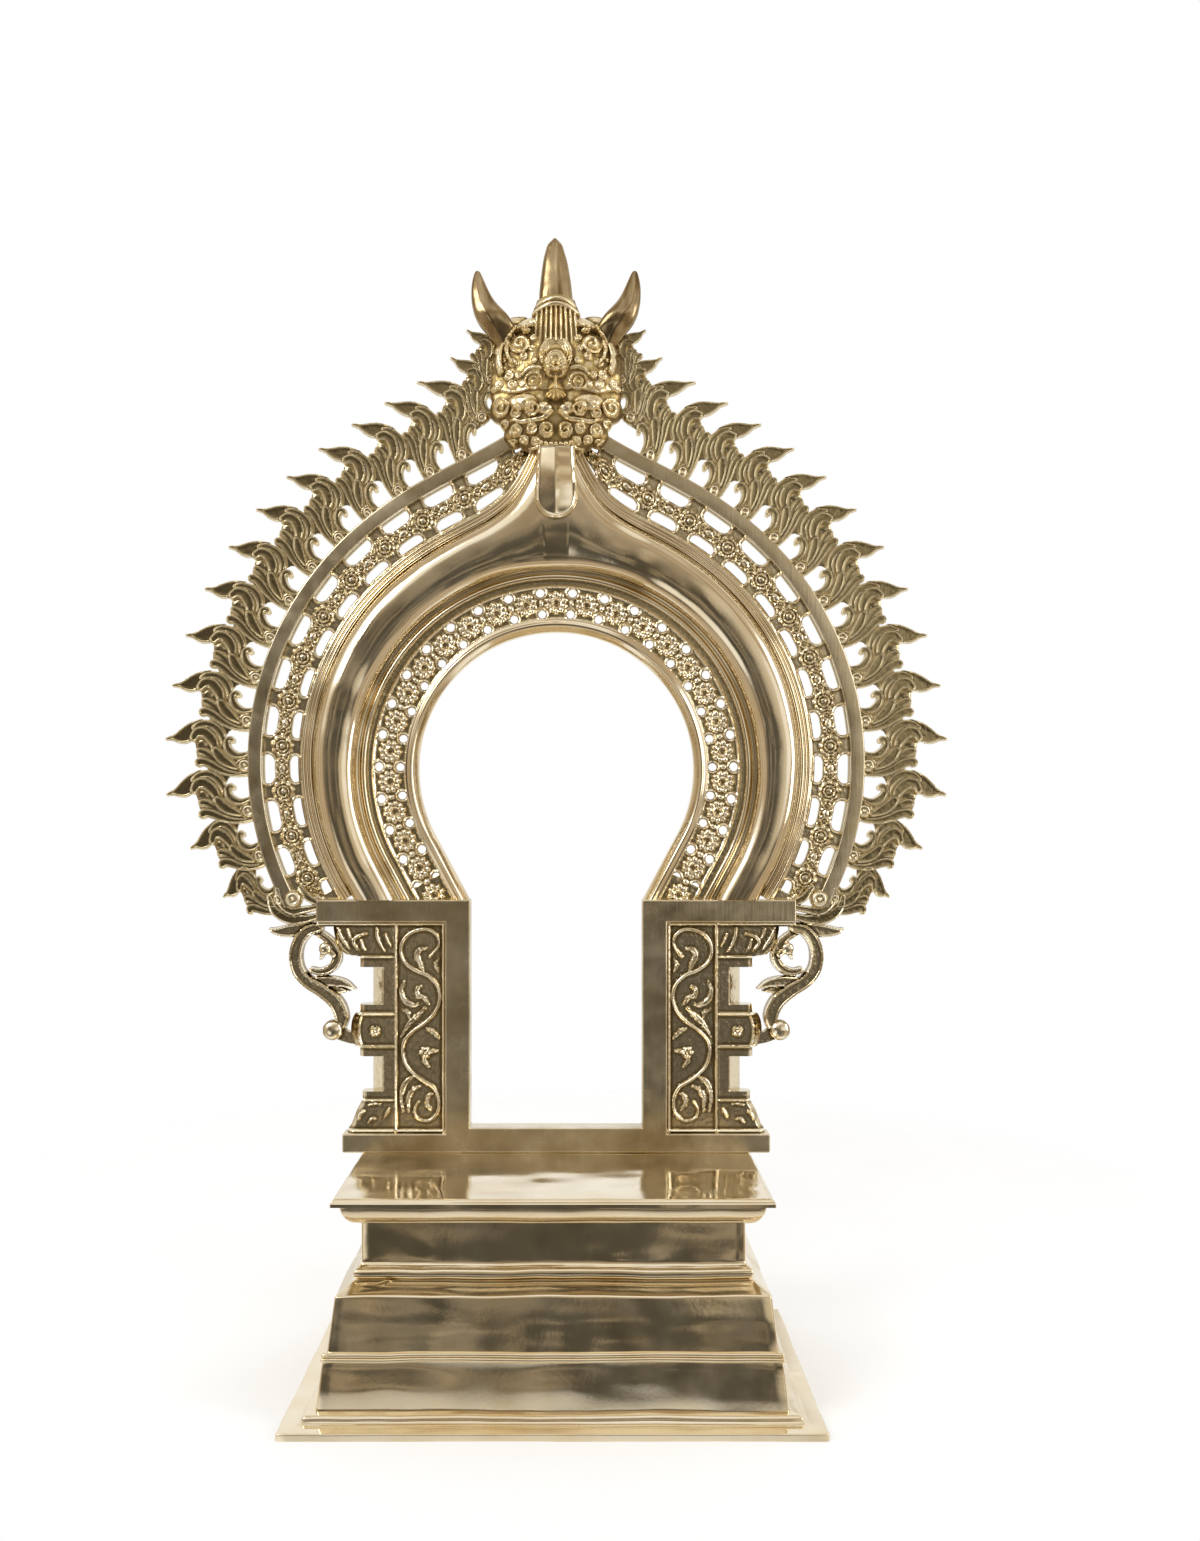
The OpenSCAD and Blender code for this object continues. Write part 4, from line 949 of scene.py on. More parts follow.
def lip():
    """The lip of the opening: a bright bevel and a hollowed band behind a soft edge."""
    rows = rounded([(OPENING_R, 0.0), (OPENING_R, 3.9), (91.8, 8.0), (93.2, 8.5), (95.0, 7.1),
                    (96.9, 6.8), (BAND_R, 0.0)], 0.7)
    shell = swept(hoop(fixed_section(rows)))
    shell.build("lip_piece", [POLISHED], "arch", ["inner_lip"], "polished_brass")


lip()

ROLL_T = 15.0
FACE_UP, FACE_R = 245.0, 43.0


def roll_edge(t):
    """The roll's outer radius: just inside the beads, and below the face's foot."""
    side = FACE_UP * np.sin(np.radians(t))
    under, far = FACE_R - 3.0, 900.0
    gap = np.sqrt(np.clip(under**2 - side**2, 0.0, None))
    face = np.where(abs(side) < under, FACE_UP * np.cos(np.radians(t)) - gap, far)
    return np.minimum(bead_line(t) - BEADS_W / 2 - 0.4, face)


def roll_section(angle):
    """Ridge, groove and a rounded back between two radii: a squared ellipse, fuller at its crest."""
    edge = roll_edge(angle)
    a = np.radians(np.linspace(180, 0, 41))
    across = np.sign(np.cos(a)) * abs(np.cos(a)) ** 0.8
    tall = 0.16 + 0.84 * np.sin(a) ** 0.72
    middle, half = (edge + ROLL_R) / 2, (edge - ROLL_R) / 2
    lean = 0.5 * (1 - across**2) * half * 0.12
    radius = middle + half * across + lean
    ridge = arc(123.4, 4.6, 1.7, 190, -30, 10)
    fixed = np.vstack([[(RIDGE_R, 0.0), (RIDGE_R, 4.0)], ridge, [(126.2, 2.3), (127.4, 2.2)]])
    radius = np.concatenate([fixed[:, 0] + 0 * angle, radius, edge], 1)
    out = np.concatenate([fixed[:, 1] + 0 * angle, ROLL_T * tall + 0 * angle, 0 * angle], 1)
    return radius, out


def roll():
    """The big roll of the horseshoe, a little uneven from polishing by hand."""
    points = hoop(roll_section)
    x, z = points[..., 0], points[..., 2]
    proud = np.clip((Y_PLATE - points[..., 1]) / ROLL_T, 0, 1)
    points[..., 1] -= 0.22 * proud * ripple(x, z, 48.0, 21)
    swept(points).build("roll_piece", [POLISHED], "arch", ["roll_moulding"], "polished_brass", 50.0)


roll()


def curved(line, t0, t1, rows, steps):
    """Sweeps (offset, out) rows along one of the outer curves between two angles; each row lies
    square to the curve."""
    share = np.linspace(0, 1, steps)
    t = t0 + (t1 - t0) * share
    radius = line(t)
    x, z = ring_place(radius, t)
    dx, dz = np.gradient(x), np.gradient(z)
    size = np.hypot(dx, dz)
    nx, nz = -dz / size, dx / size
    rows = np.asarray(rows, float)
    px = x[:, None] + nx[:, None] * rows[:, 0]
    pz = z[:, None] + nz[:, None] * rows[:, 0]
    return np.stack([px, np.broadcast_to(Y_PLATE - rows[:, 1], px.shape), pz], -1)


def beads():
    """Fine outer mouldings: a larger and two smaller half-rounds side by side."""
    rows = np.vstack([[(-3.5, 0.0)], arc(-2.2, 6.6, 1.3, 180, 0, 8), arc(0.1, 5.7, 1.0, 170, 10, 8),
                      arc(2.3, 5.0, 1.15, 170, 0, 8), [(3.5, 0.0)]])
    end = math.degrees(math.acos(DROP / 157.2)) - 0.25
    points = curved(bead_line, 2.4, end, rows[::-1], 300)
    points[..., 2] = np.maximum(points[..., 2], SHOULDER_Z)
    shell = swept(points[:, ::-1])
    both_sides(shell, "bead_piece", "beads", "polished_brass", [POLISHED], 60.0)


beads()

BAND_MID, BAND_FLOWER_R = 109.35, 107.4
BAND_FLOWERS = 25


def band_place(s, q, h):
    """Places the flower band: along the arc at its middle radius, then straight down the legs."""
    arc_run = BAND_MID * math.radians(LEG_ANGLE)
    way = np.minimum(abs(s), arc_run)
    run = abs(s) - way
    turn = way / BAND_MID
    side = np.sign(s)
    x = side * ((BAND_MID + q) * np.sin(turn) + run * np.cos(turn))
    z = RING_Z + (BAND_MID + q) * np.cos(turn) - run * np.sin(turn)
    return np.stack([x, Y_BACK - h, z], -1)


def flower_band():
    """The pierced band: 25 flowers with a pair of round holes between each two, on matted ground."""
    lean = math.radians(LEG_ANGLE)
    half = BAND_MID * lean + (BAND_MID * math.cos(lean) - DROP) / math.sin(lean)
    step = 2 * (half - 21.4) / (BAND_FLOWERS - 1)
    wide, thick, hole_r, hole_out = 12.9, 4.9, 2.75, 6.85
    s, q = np.meshgrid(mesh_lines(-half - 9, half + 9, 0.62), mesh_lines(-13.4, 13.4, 0.62))
    z = band_place(s, q, 0 * s)[..., 2]
    inside = np.minimum(wide - abs(q), z - SHOULDER_Z)
    along = ((s / step + 0.5) % 1.0 - 0.5) * step
    out = q - (BAND_FLOWER_R - BAND_MID)
    gap = step / 2 - abs(along)
    live = abs(s) < half - 12.0
    pierced = np.hypot(gap, abs(out) - hole_out) - hole_r
    inside = np.minimum(inside, np.where(live, pierced, 99.0))
    relief = Relief(s, q, inside, thick)
    relief.height += 0.16 * grain(s.shape, 31)
    relief.flower(along, out, 7.3, 10, 1.5)
    relief.height += 0.8 * bump(pierced, 0.9, 0.55) * live
    link = np.hypot(gap / 1.5, out / 2.0)
    relief.height += 1.1 * dome(link, 1.0)
    relief.height = np.where(abs(out) > 10.2, thick, relief.height)
    relief.height += 0.9 * bump(abs(out), 10.3, 0.6)
    shell = finish_relief(relief, band_place, soft=0.7)
    shell.build("band_piece", [CARVED, RAW], "arch", ["inner_band"], "carved_brass")


flower_band()


# Lattice

CELLS = 12
FIRST_CELL, LAST_CELL = 9.2, 113.5


def lattice_span(t):
    """The radii between which the lattice lies: on the beads and under the rim."""
    return bead_line(t) + 2.2, rim_line(t) - RIM_W / 2 + 1.6


def lattice_place(t, share, h):
    """Places the lattice: an angle from the top, and a share of the way from beads to rim."""
    low, high = lattice_span(t)
    x, z = ring_place(low + (high - low) * share, t)
    return np.stack([x, Y_BACK - h, z], -1)


def lattice():
    """A chain of large and small flowers between two rows of openings."""
    t, share = np.meshgrid(mesh_lines(2.0, 121.5, 0.19), mesh_lines(-0.02, 1.02, 0.0185))
    low, high = lattice_span(t)
    radius = low + (high - low) * share
    pitch = (LAST_CELL - FIRST_CELL) / (CELLS - 1)
    number = (t - FIRST_CELL) / pitch
    middle = (low + high) / 2 + 0.6
    cell = (number + 0.5) % 1.0 - 0.5
    along = cell * pitch * np.pi / 180 * middle
    half = pitch / 2 * np.pi / 180 * middle
    out = radius - middle
    span = (high - low) / 2
    gap = half - abs(along)
    bar = 5.6 + 0.8 * ripple(t * 3.0, share, 40.0, 44)
    chain = 4.7 + 1.0 * smooth(1 - (half - bar - gap) / 5.0)

    def opening(sign, limit):
        """How far a point lies outside one opening: a rounded box, flat on its outer side."""
        height = (limit - chain) / 2
        centre = sign * (chain + height)
        corner = height * np.where(sign * (out - centre) > 0, 0.45, 0.95)
        du = np.clip(gap - (half - bar) + corner, 0, None)
        dv = np.clip(abs(out - centre) - (height - corner), 0, None)
        return np.hypot(du, dv) - corner

    pierced = np.minimum(opening(1, span - 2.6), opening(-1, span - 3.8))
    live = (number > -0.5) & (number < CELLS - 0.5)
    z = ring_place(radius, t)[1]
    inside = np.minimum(np.minimum(share, 1 - share) * 26.0, z - SHOULDER_Z)
    inside = np.minimum(inside, np.where(live, pierced, 99.0))
    relief = Relief(t, share, inside, 4.4)
    chain_share = smooth((chain + 1.5 - abs(out)) / 1.5)
    relief.height += 0.16 * grain(t.shape, 41) * chain_share
    relief.height += 0.9 * bump(pierced, 0.8, 0.6) * live
    big = np.hypot(along, out)
    turn = np.mod(np.arctan2(out, along) * 9 / (2 * np.pi), 1.0) - 0.5
    petal = np.hypot(big - 6.0, turn * 2 * np.pi / 9 * 6.0)
    relief.height += 1.6 * bump(big, 3.5, 0.7) + 0.9 * dome(big, 2.1)
    relief.height += 1.0 * bump(big, 5.5, 0.5) + 0.6 * dome(petal, 1.6)
    small = np.hypot(abs(along) - 9.6, out)
    relief.height += 1.5 * bump(small, 2.1, 0.5) + 0.6 * dome(small, 1.1)
    for u, v in ((9.6, 3.5), (12.2, 2.9), (12.2, -2.9), (9.6, -3.5)):
        relief.height += 0.9 * dome(np.hypot(abs(along) - u, out - v), 1.1)
    lens = gap / 3.0
    relief.height += 1.3 * dome(lens, 1.0) * dome(out / (2.3 * np.sqrt(np.clip(1 - lens**2, 0.05, 1))), 1.0)
    relief.height += 0.7 * bump(span - abs(out), 1.6, 0.5) * (out < 0)
    shell = finish_relief(relief, lattice_place, soft=0.7, turned=True)
    both_sides(shell, "lattice_piece", "lattice", "carved_brass", [CARVED, RAW])


lattice()


# Flames

RIM_END = math.degrees(math.acos(DROP / RIM_R)) + 1.5
FLAME_UNITS, FLAME_MID_R = 30.2, 229.0
FLAME_TIP_U, FLAME_TIP_V = 16.9, 54.0
CASTINGS, FLAMES_EACH = 4, 4


def flame_relief():
    """One flame, flat on the plane: nested lobes with curled ends, a hooked head and its tip, and
    the thin web that joins it to the next flame."""
    u, v = np.meshgrid(mesh_lines(-4.0, 38.0, 0.32), mesh_lines(-3.0, 56.0, 0.32))
    relief = Relief(u, v)
    body = [(-3.0, -2.0), (-1.0, 1.2), (-0.5, 6.0), (0.4, 13.0), (3.2, 20.0), (6.4, 26.0), (9.0, 32.0),
            (16.0, 34.0), (23.0, 37.0), (29.0, 33.0), (30.5, 25.0), (27.0, 17.5), (21.0, 15.5),
            (16.0, 12.0), (14.4, 5.0), (16.4, 0.8), (19.0, -2.0)]
    web = [(24.5, 16.0), (28.6, 19.0), (30.6, 25.0), (33.0, 28.0), (36.0, 27.5), (34.4, 22.5),
           (31.8, 16.5), (30.0, 11.0), (28.0, 13.6)]
    relief.blot(spline(web, 5, True), 1.5)
    relief.blot(spline(body, 5, True), 2.0)
    high, rim, line = 3.0, 1.2, 0.55
    head = [
        (0.0, [(28.6, 33.0, 3.6), (24.6, 37.6, 4.9), (21.4, 41.0, 5.0), (19.4, 44.6, 3.7),
               (18.4, 48.0, 2.1), (17.6, 51.0, 1.4), (16.8, 53.0, 1.0)]),
        (-0.2, [(19.6, 16.2, 1.9), (24.5, 17.8, 2.5), (28.2, 21.4, 2.8), (30.0, 26.7, 2.8),
                (29.0, 32.6, 2.5), (26.2, 36.8, 1.8)]),
        (0.3, [(16.6, 20.8, 2.6), (20.1, 22.6, 3.3), (23.2, 26.0, 3.6), (24.8, 29.8, 3.6),
               (23.6, 33.8, 3.3), (20.6, 35.6, 2.9)]),
    ]
    foot = [
        (-0.2, [(2.8, 8.6, 1.5), (4.6, 14.2, 2.1), (7.8, 19.9, 2.5), (11.4, 24.4, 2.7),
                (13.2, 28.8, 2.7), (13.0, 31.0, 2.5)]),
        (0.0, [(0.6, 1.0, 1.7), (0.4, 6.0, 2.0), (1.3, 11.8, 2.4), (3.5, 18.0, 2.8), (6.2, 23.6, 3.0),
               (7.4, 28.0, 3.0), (6.6, 30.6, 3.0)]),
        (0.0, [(14.0, 0.8, 2.0), (12.8, 5.4, 2.4), (14.0, 9.9, 2.7), (17.2, 13.2, 2.6),
               (20.8, 14.2, 2.4), (23.0, 12.4, 2.2), (22.0, 10.4, 1.9)]),
        (0.4, [(4.8, 7.4, 1.9), (7.8, 12.8, 3.2), (11.0, 17.2, 3.5), (14.4, 20.4, 3.1)]),
    ]
    for proud, path in head:
        relief.ribbon(path, high + proud, rim, line)
    relief.knob(17.2, 30.2, 3.6, 1.2, 1.6)
    for proud, path in foot:
        relief.ribbon(path, high + proud, rim, line)
    relief.knob(6.4, 1.9, 5.4, 0.5, 2.9)
    relief.ringed(6.4, 1.9, 4.4, 1.1, 1.5, 0.7)
    height = relief.height - rolled_off(relief.inside, 0.6, 0.5)
    # Share for wear and for painted shade and highlight
    wear_and_shade = wear_and_shade_share(relief.height, relief.inside, 3)
    return trace(relief.inside, u, v, height, wear_and_shade)


FLAME = flame_relief()


def flame_start(i):
    """The angle at which a flame's foot begins."""
    return RIM_END * (1 - 0.0768 * i + 0.0009 * i * i)


def flame_place(i):
    """Places a flame on the rim. Its axis bends evenly along an arc, back towards the foot of the
    arch near the head, and the flames beside the head are larger."""
    unit = (flame_start(i) - flame_start(i + 1)) / FLAME_UNITS
    size = min(1.0, 0.62 + 0.2 * i) + 0.5 * math.exp((i - 15) / 1.9)
    sway = math.radians(6.2 - 0.042 * (i + 1) ** 2 - FLAME_TIP_U * unit) * FLAME_MID_R
    length = FLAME_TIP_V * size
    bend = 2 * sway / length
    bend = bend if abs(bend) > 0.001 else 0.001

    def place(u, v, h):
        """A point of the flame, on the bent axis and square to it."""
        along = np.where(v > 0, v * size, v)
        turn = bend * np.clip(along, 0, None) / length
        across = np.radians((u - FLAME_TIP_U) * unit) * FLAME_MID_R
        aside = length / bend * (1 - np.cos(turn)) + across * np.cos(turn)
        rise = np.where(v > 0, length / bend * np.sin(turn), v) - across * np.sin(turn)
        t = flame_start(i) - FLAME_TIP_U * unit - np.degrees(aside / FLAME_MID_R)
        x, z = ring_place(rim_line(t) + RIM_W / 2 + rise, t)
        return np.stack([x, Y_PLATE - h, z], -1)
    return place


def beside_head(foot, tip):
    """Places a flame beside the head: turned and sized so that its foot and tip meet two points,
    given across and up from the middle of the face."""
    foot, tip = complex(*foot), complex(*tip)
    start = complex(-7.0, 0.0)
    grow = (tip - foot) / (complex(-FLAME_TIP_U, FLAME_TIP_V) - start)

    def place(u, v, h):
        """A point of the flame, turned and sized about its foot."""
        point = foot + grow * (-u + 1j * v - start)
        return np.stack([point.real, Y_PLATE - h, FACE_Z + point.imag], -1)
    return place


def end_leaf(shell):
    """The curled end of a flame border on the cap: three ribbons round a ringed flower."""
    u, v = np.meshgrid(mesh_lines(150.0, 190.0, 0.45), mesh_lines(265.0, 298.0, 0.45))
    relief = Relief(u, v)
    for rise, path in (
            (4.2, [(184.0, 287.0, 2.0), (181.0, 279.0, 3.2), (173.0, 273.4, 3.6), (164.0, 272.6, 3.2),
                   (153.4, 274.5, 2.4)]),
            (4.2, [(164.0, 293.0, 2.0), (159.4, 287.0, 2.8), (152.6, 283.4, 2.6)]),
            (4.6, [(179.0, 292.0, 1.8), (177.0, 284.0, 2.6), (170.0, 278.2, 3.0), (161.0, 279.0, 2.6),
                   (153.0, 280.6, 2.2)])):
        relief.ribbon(path, rise, 1.0)
    relief.knob(168.6, 285.8, 6.0, 0.8, 4.4)
    relief.ringed(168.6, 285.8, 5.4, 1.0, 1.5, 0.8)
    return finish_relief(relief, upright(0.0, 0.0, Y_PLATE), 1.3, 4, shell)


def flame_castings():
    """Four castings a side, each a length of plain rim with four flames; the last two flames of a
    side stand beside the head."""
    values, faces, outline = FLAME
    half = RIM_W / 2
    rows = rounded([(-half, 0.0), (-half, 4.5), (-3.9, 5.1), (0.0, 5.14), (3.9, 5.1), (half, 4.5),
                    (half, 0.0)], 0.5)
    places = [flame_place(i) for i in range(CASTINGS * FLAMES_EACH - 2)]
    places += [beside_head((46.0, -20.0), (68.0, 20.0)), beside_head((41.0, 4.0), (57.5, 37.5))]
    for k in range(CASTINGS):
        first = k * FLAMES_EACH
        low, high = max(1.5, flame_start(first + FLAMES_EACH)), flame_start(first)
        shell = swept(curved(rim_line, low, high, rows, 90), RIM)
        for i in range(first, first + FLAMES_EACH):
            back = 0.2 + 0.25 * (i % FLAMES_EACH)
            shell.relief(places[i], *values, faces, outline, back, turned=True)
        if k == 0:
            end_leaf(shell)
        name = "flames_%d" % (k + 1)
        both_sides(shell, name + "_piece", name, "carved_brass", [FLAMED, RAW, BRUSHED])


flame_castings()


# Head

def face():
    """The face: a flattened half ball with boss, eyes, nose, whiskers and curls laid over it. The
    two halves mirror each other, with a slow unevenness across the whole."""
    x, up = np.meshgrid(mesh_lines(-46.0, 46.0, 0.5), mesh_lines(-50.0, 48.0, 0.5))
    side = abs(x)
    relief = Relief(side, up, 42.0 - np.hypot(side, (up + 2.0) * 0.96))
    round_face = dome(np.hypot(side / 45.0, (up + 2.0) / 47.5), 1.0)
    relief.height += 5.0 + 18.0 * round_face + 0.7 * ripple(x, up, 26.0, 61)
    for u, v, r in ((35.0, -16.5, 7.4), (27.0, -33.0, 6.5), (33.0, 24.0, 8.0), (24.0, 37.0, 8.0)):
        relief.inside = np.maximum(relief.inside, r - np.hypot(side - u, up - v))
    saddle = 43.0 - 0.24 * np.clip(24.0 - side, 0, 9.0)
    relief.inside = np.maximum(relief.inside, np.minimum(saddle - up, np.minimum(31.0 - side, up - 10.0)))

    # Bands round the ears and under the horns
    for rise, path in (
            (6.0, [(8.0, 40.0, 5.0), (18.0, 39.4, 5.4), (27.0, 39.0, 5.6), (34.0, 38.0, 5.0)]),
            (4.0, [(27.0, 35.0, 2.6), (34.0, 28.0, 3.0), (37.0, 17.0, 2.8), (35.0, 6.0, 2.2)]),
            (2.8, [(17.0, 32.5, 1.3), (25.0, 33.6, 1.6), (30.6, 27.5, 1.7), (31.0, 18.0, 1.5),
                   (27.5, 10.5, 1.1)])):
        relief.stem(path, rise)

    # Curls of the hair
    for u, v, r, rise, turns, start, hand in (
            (23.0, 23.8, 6.8, 3.6, 1.6, 100, 1), (19.0, 33.6, 3.6, 2.4, 1.3, 40, -1),
            (20.5, 15.4, 2.8, 2.2, 1.1, 160, 1), (27.4, 11.6, 3.2, 2.2, 1.2, 20, -1),
            (14.0, 27.4, 2.6, 1.8, 1.1, 80, 1), (30.0, 3.4, 3.4, 2.2, 1.2, 140, -1),
            (23.6, 3.4, 2.6, 1.8, 1.1, 0, 1), (13.2, 12.4, 2.2, 1.6, 1.1, 0, 1),
            (36.2, -1.6, 2.8, 1.8, 1.1, 40, 1), (35.4, -16.4, 6.2, 4.0, 1.6, 60, -1),
            (15.0, -18.2, 4.8, 3.6, 1.5, 120, 1), (25.4, -19.8, 3.8, 2.6, 1.3, 0, -1),
            (5.9, -31.0, 4.9, 4.2, 1.6, 150, -1), (25.6, -30.6, 4.3, 3.2, 1.4, 30, 1),
            (33.0, -26.0, 3.2, 2.2, 1.2, 80, -1), (15.4, -29.6, 3.8, 3.0, 1.4, 0, -1),
            (20.4, -36.6, 3.4, 2.6, 1.3, 60, 1), (13.0, -37.2, 3.2, 2.6, 1.3, 10, -1),
            (27.0, -38.0, 3.0, 2.2, 1.2, 120, 1), (27.6, -2.6, 3.2, 2.2, 1.2, 30, 1),
            (33.0, 7.6, 2.6, 1.8, 1.1, 60, -1), (39.4, -4.4, 2.2, 1.6, 1.1, 0, 1),
            (21.2, -2.6, 2.2, 1.6, 1.1, 50, 1), (28.6, 30.4, 2.8, 2.0, 1.2, 70, 1),
            (15.0, 20.4, 2.4, 1.8, 1.1, 20, -1), (31.6, 20.6, 2.2, 1.6, 1.1, 90, 1),
            (33.0, 14.0, 2.2, 1.6, 1.1, 0, 1)):
        relief.spiral(u, v, r, rise, turns, start, hand)

    # Step under the brow, cheeks and whiskers
    below = -6.0 - 1.3 * np.cos(side / 4.0) - up
    relief.height -= 2.2 * smooth(below / 1.6) * np.exp(-np.clip(below, 0, None) / 4.0)
    relief.height += 3.4 * dome(np.hypot((side - 21.0) / 10.0, (up + 14.0) / 5.5), 1.0)
    relief.height += 3.2 * dome(np.hypot((side - 7.2) / 5.2, (up + 18.0) / 4.2), 1.0)
    relief.stem([(2.5, -20.0, 1.3), (8.0, -23.8, 1.7), (15.0, -25.0, 1.7), (22.0, -25.6, 1.5),
                 (28.0, -24.0, 0.9)], 2.0)
    relief.stem([(11.0, -41.0, 1.1), (17.0, -42.5, 1.4), (24.0, -41.6, 1.2), (30.0, -36.0, 0.9)], 2.2)
    for k in range(4):
        relief.height += 2.2 * dome(np.hypot(side - 3.2 * k, up + 39.6 - 0.12 * k * k), 1.65)

    # Eyes
    eye = np.hypot(side - 14.2, up + 0.8)
    relief.height += 1.5 * bump(eye, 5.2, 0.7) + 1.1 * bump(eye, 2.9, 0.6) + 0.9 * bump(eye, 0, 0.8)
    relief.height -= 1.3 * dome(eye, 5.6)
    relief.stem([(4.4, 3.4, 0.8), (10.0, 7.4, 1.3), (17.0, 7.4, 1.4), (22.4, 2.4, 1.0)], 1.5)

    # Boss of the forehead
    hood = np.hypot(side / 10.8, (up - 15.5) / 12.4)
    tip = np.hypot(side, np.where(up > 6.8, (up - 6.8) * 0.72, up - 6.8))
    relief.height += 4.6 * dome(hood, 1.0) ** 0.8 + 5.5 * dome(tip, 8.0) ** 1.3
    for form, rise, at, width in (
            (hood, 1.3, 0.94, 0.05), (hood, 1.2, 0.8, 0.045), (hood, 1.1, 0.66, 0.045),
            (hood, 1.0, 0.53, 0.04), (tip, 1.1, 6.6, 0.55), (tip, 1.1, 4.2, 0.5), (tip, 1.2, 2.0, 0.5),
            (tip, -0.6, 0.0, 0.7)):
        relief.height += rise * bump(form, at, width)

    # Nose
    wide = np.interp(up, [-14.5, -9.5, -4.0, 1.5], [4.2, 5.6, 3.4, 0.8])
    bridge = np.interp(up, [-14.0, -10.5, -6.0, 1.5, 3.0], [0.0, 10.5, 8.0, 3.0, 0.0])
    relief.height += 1.25 * bridge * np.clip(1.15 - side / wide, 0, 1) ** 0.8
    relief.height += 3.6 * dome(np.hypot(side, up + 11.6), 3.4)
    relief.height += 2.6 * dome(np.hypot(side - 4.2, up + 10.6), 2.3)
    relief.height += 0.4 * grain(x.shape, 62, 2) * smooth((side - 3.0) / 6.0)
    relief.u = x
    place = upright(0.0, FACE_Z, Y_PLATE)
    finish_relief(relief, place, 2.0, 5, soft=1.2).build(
        "face_piece", [MATTED, RAW], "arch", ["face_mask"], "carved_brass", 55.0)


face()


def crown():
    """The pleated cap over the forehead, under two arched bands."""
    x, up = np.meshgrid(mesh_lines(-17.0, 17.0, 0.36), mesh_lines(21.0, 55.0, 0.45))
    wide = np.interp(up, [21.0, 30.0, 43.0, 47.0, 54.0], [13.0, 15.2, 15.4, 13.6, 11.2])
    inside = np.minimum(wide - abs(x), np.minimum(up - 22.0, 53.6 - 0.012 * x * x - up))
    relief = Relief(x, up, inside, 9.0)
    relief.height += 14.0 * dome(x / (wide + 1.5), 1.0) + 1.6 * bump(up, 35.0, 8.0)
    band = up - 46.6 + 0.022 * x * x
    pleat = smooth(-band / 1.5)
    relief.height += pleat * 0.95 * np.cos(2 * np.pi * x * (1 + 0.006 * (up - 24.0)) / 3.35)
    relief.height += 1.7 * dome(band - 0.9, 1.6) + 1.2 * dome(band - 4.2, 1.5)
    finish_relief(relief, upright(0.0, FACE_Z, Y_PLATE), 2.5, 4, soft=1.5).build(
        "crown_piece", [MATTED, RAW], "arch", ["crown"], "carved_brass", 60.0)


crown()


def horn(spine):
    """A horn along a curve of (across, depth, up, half width) rows: flattened ovals in section,
    with a ridge in front."""
    rows = spline(spine, 8)
    turn = np.linspace(0, 2 * np.pi, 65)[:-1]
    ridge = 1 + 0.1 * np.exp(-((turn - 1.58 * np.pi) / 0.2) ** 2)
    x = rows[:, :1] + rows[:, 3:] * np.cos(turn)
    y = rows[:, 1:2] + 0.56 * rows[:, 3:] * np.sign(np.sin(turn)) * abs(np.sin(turn)) ** 0.8 * ridge
    z = rows[:, 2:3] + 0 * x
    wave = 0.15 * ripple(x + y, z, 14.0, 71)
    points = np.stack([x + wave, y + wave, FACE_Z + z], -1)
    shell = Shell()
    shell.grid(points, False, True)
    shell.cap(points[0], True)
    shell.cap(points[-1])
    return shell


def horns():
    """A stout middle horn with a blunt tip and two hooked side horns."""
    share = np.linspace(0, 1, 12)
    spine = np.stack([-0.8 * share, 33.0 + 2.0 * share, 46.0 + 46.0 * share,
                      10.4 * np.sqrt(1 - share**1.5) + 0.6], 1)
    horn(spine).build("middle_horn_piece", [HORN], "arch", ["centre_horn"], "polished_brass", 60.0)
    side = horn([(31.0, 39.5, 24.0, 7.0), (34.0, 38.0, 31.0, 9.4), (37.6, 36.0, 37.0, 11.2),
                 (41.0, 34.6, 42.5, 10.8), (44.0, 34.0, 47.6, 8.9), (46.6, 34.3, 53.0, 7.0),
                 (48.4, 34.8, 59.0, 5.4), (49.3, 35.2, 65.0, 3.7), (49.8, 35.4, 69.6, 2.1),
                 (50.0, 35.4, 71.2, 1.0)])
    both_sides(side, "horn_piece", "horn", "polished_brass", [HORN], 60.0)


horns()


def tongue():
    """The tongue: two flat planes that meet in a ridge, with a round end and a raised edge."""
    x, up = np.meshgrid(mesh_lines(-15.0, 15.0, 0.5), mesh_lines(-88.0, -38.0, 0.5))
    wide = np.interp(up, [-80.0, -70.0, -40.0], [13.4, 13.4, 11.8])
    end = np.clip(-73.0 - up, 0, None)
    inside = np.minimum(13.4 - np.hypot(x, end), np.minimum(wide - abs(x), -39.0 - up))
    relief = Relief(x, up, inside, 21.4)
    relief.height -= 0.2 * abs(x + 0.6) + 0.004 * (up + 66.0) ** 2
    relief.height += 0.7 * bump(inside, 1.3, 0.7)
    relief.height += 0.15 * np.sin(0.55 * up + 0.7 * np.sin(0.13 * up)) * smooth((x + 0.6) / 3.0)
    finish_relief(relief, upright(0.0, FACE_Z, Y_PLATE), 14.6, 4, soft=1.4).build(
        "tongue_piece", [POLISHED, RAW], "arch", ["tongue"], "polished_brass", 40.0)


tongue()


# Tenons and sockets keep their own shape with a cast finish
for name in ("left_tenon", "right_tenon", "left_socket", "right_socket"):
    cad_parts[name].data.materials.clear()
    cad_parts[name].data.materials.append(RAW)


# Floor, light and camera

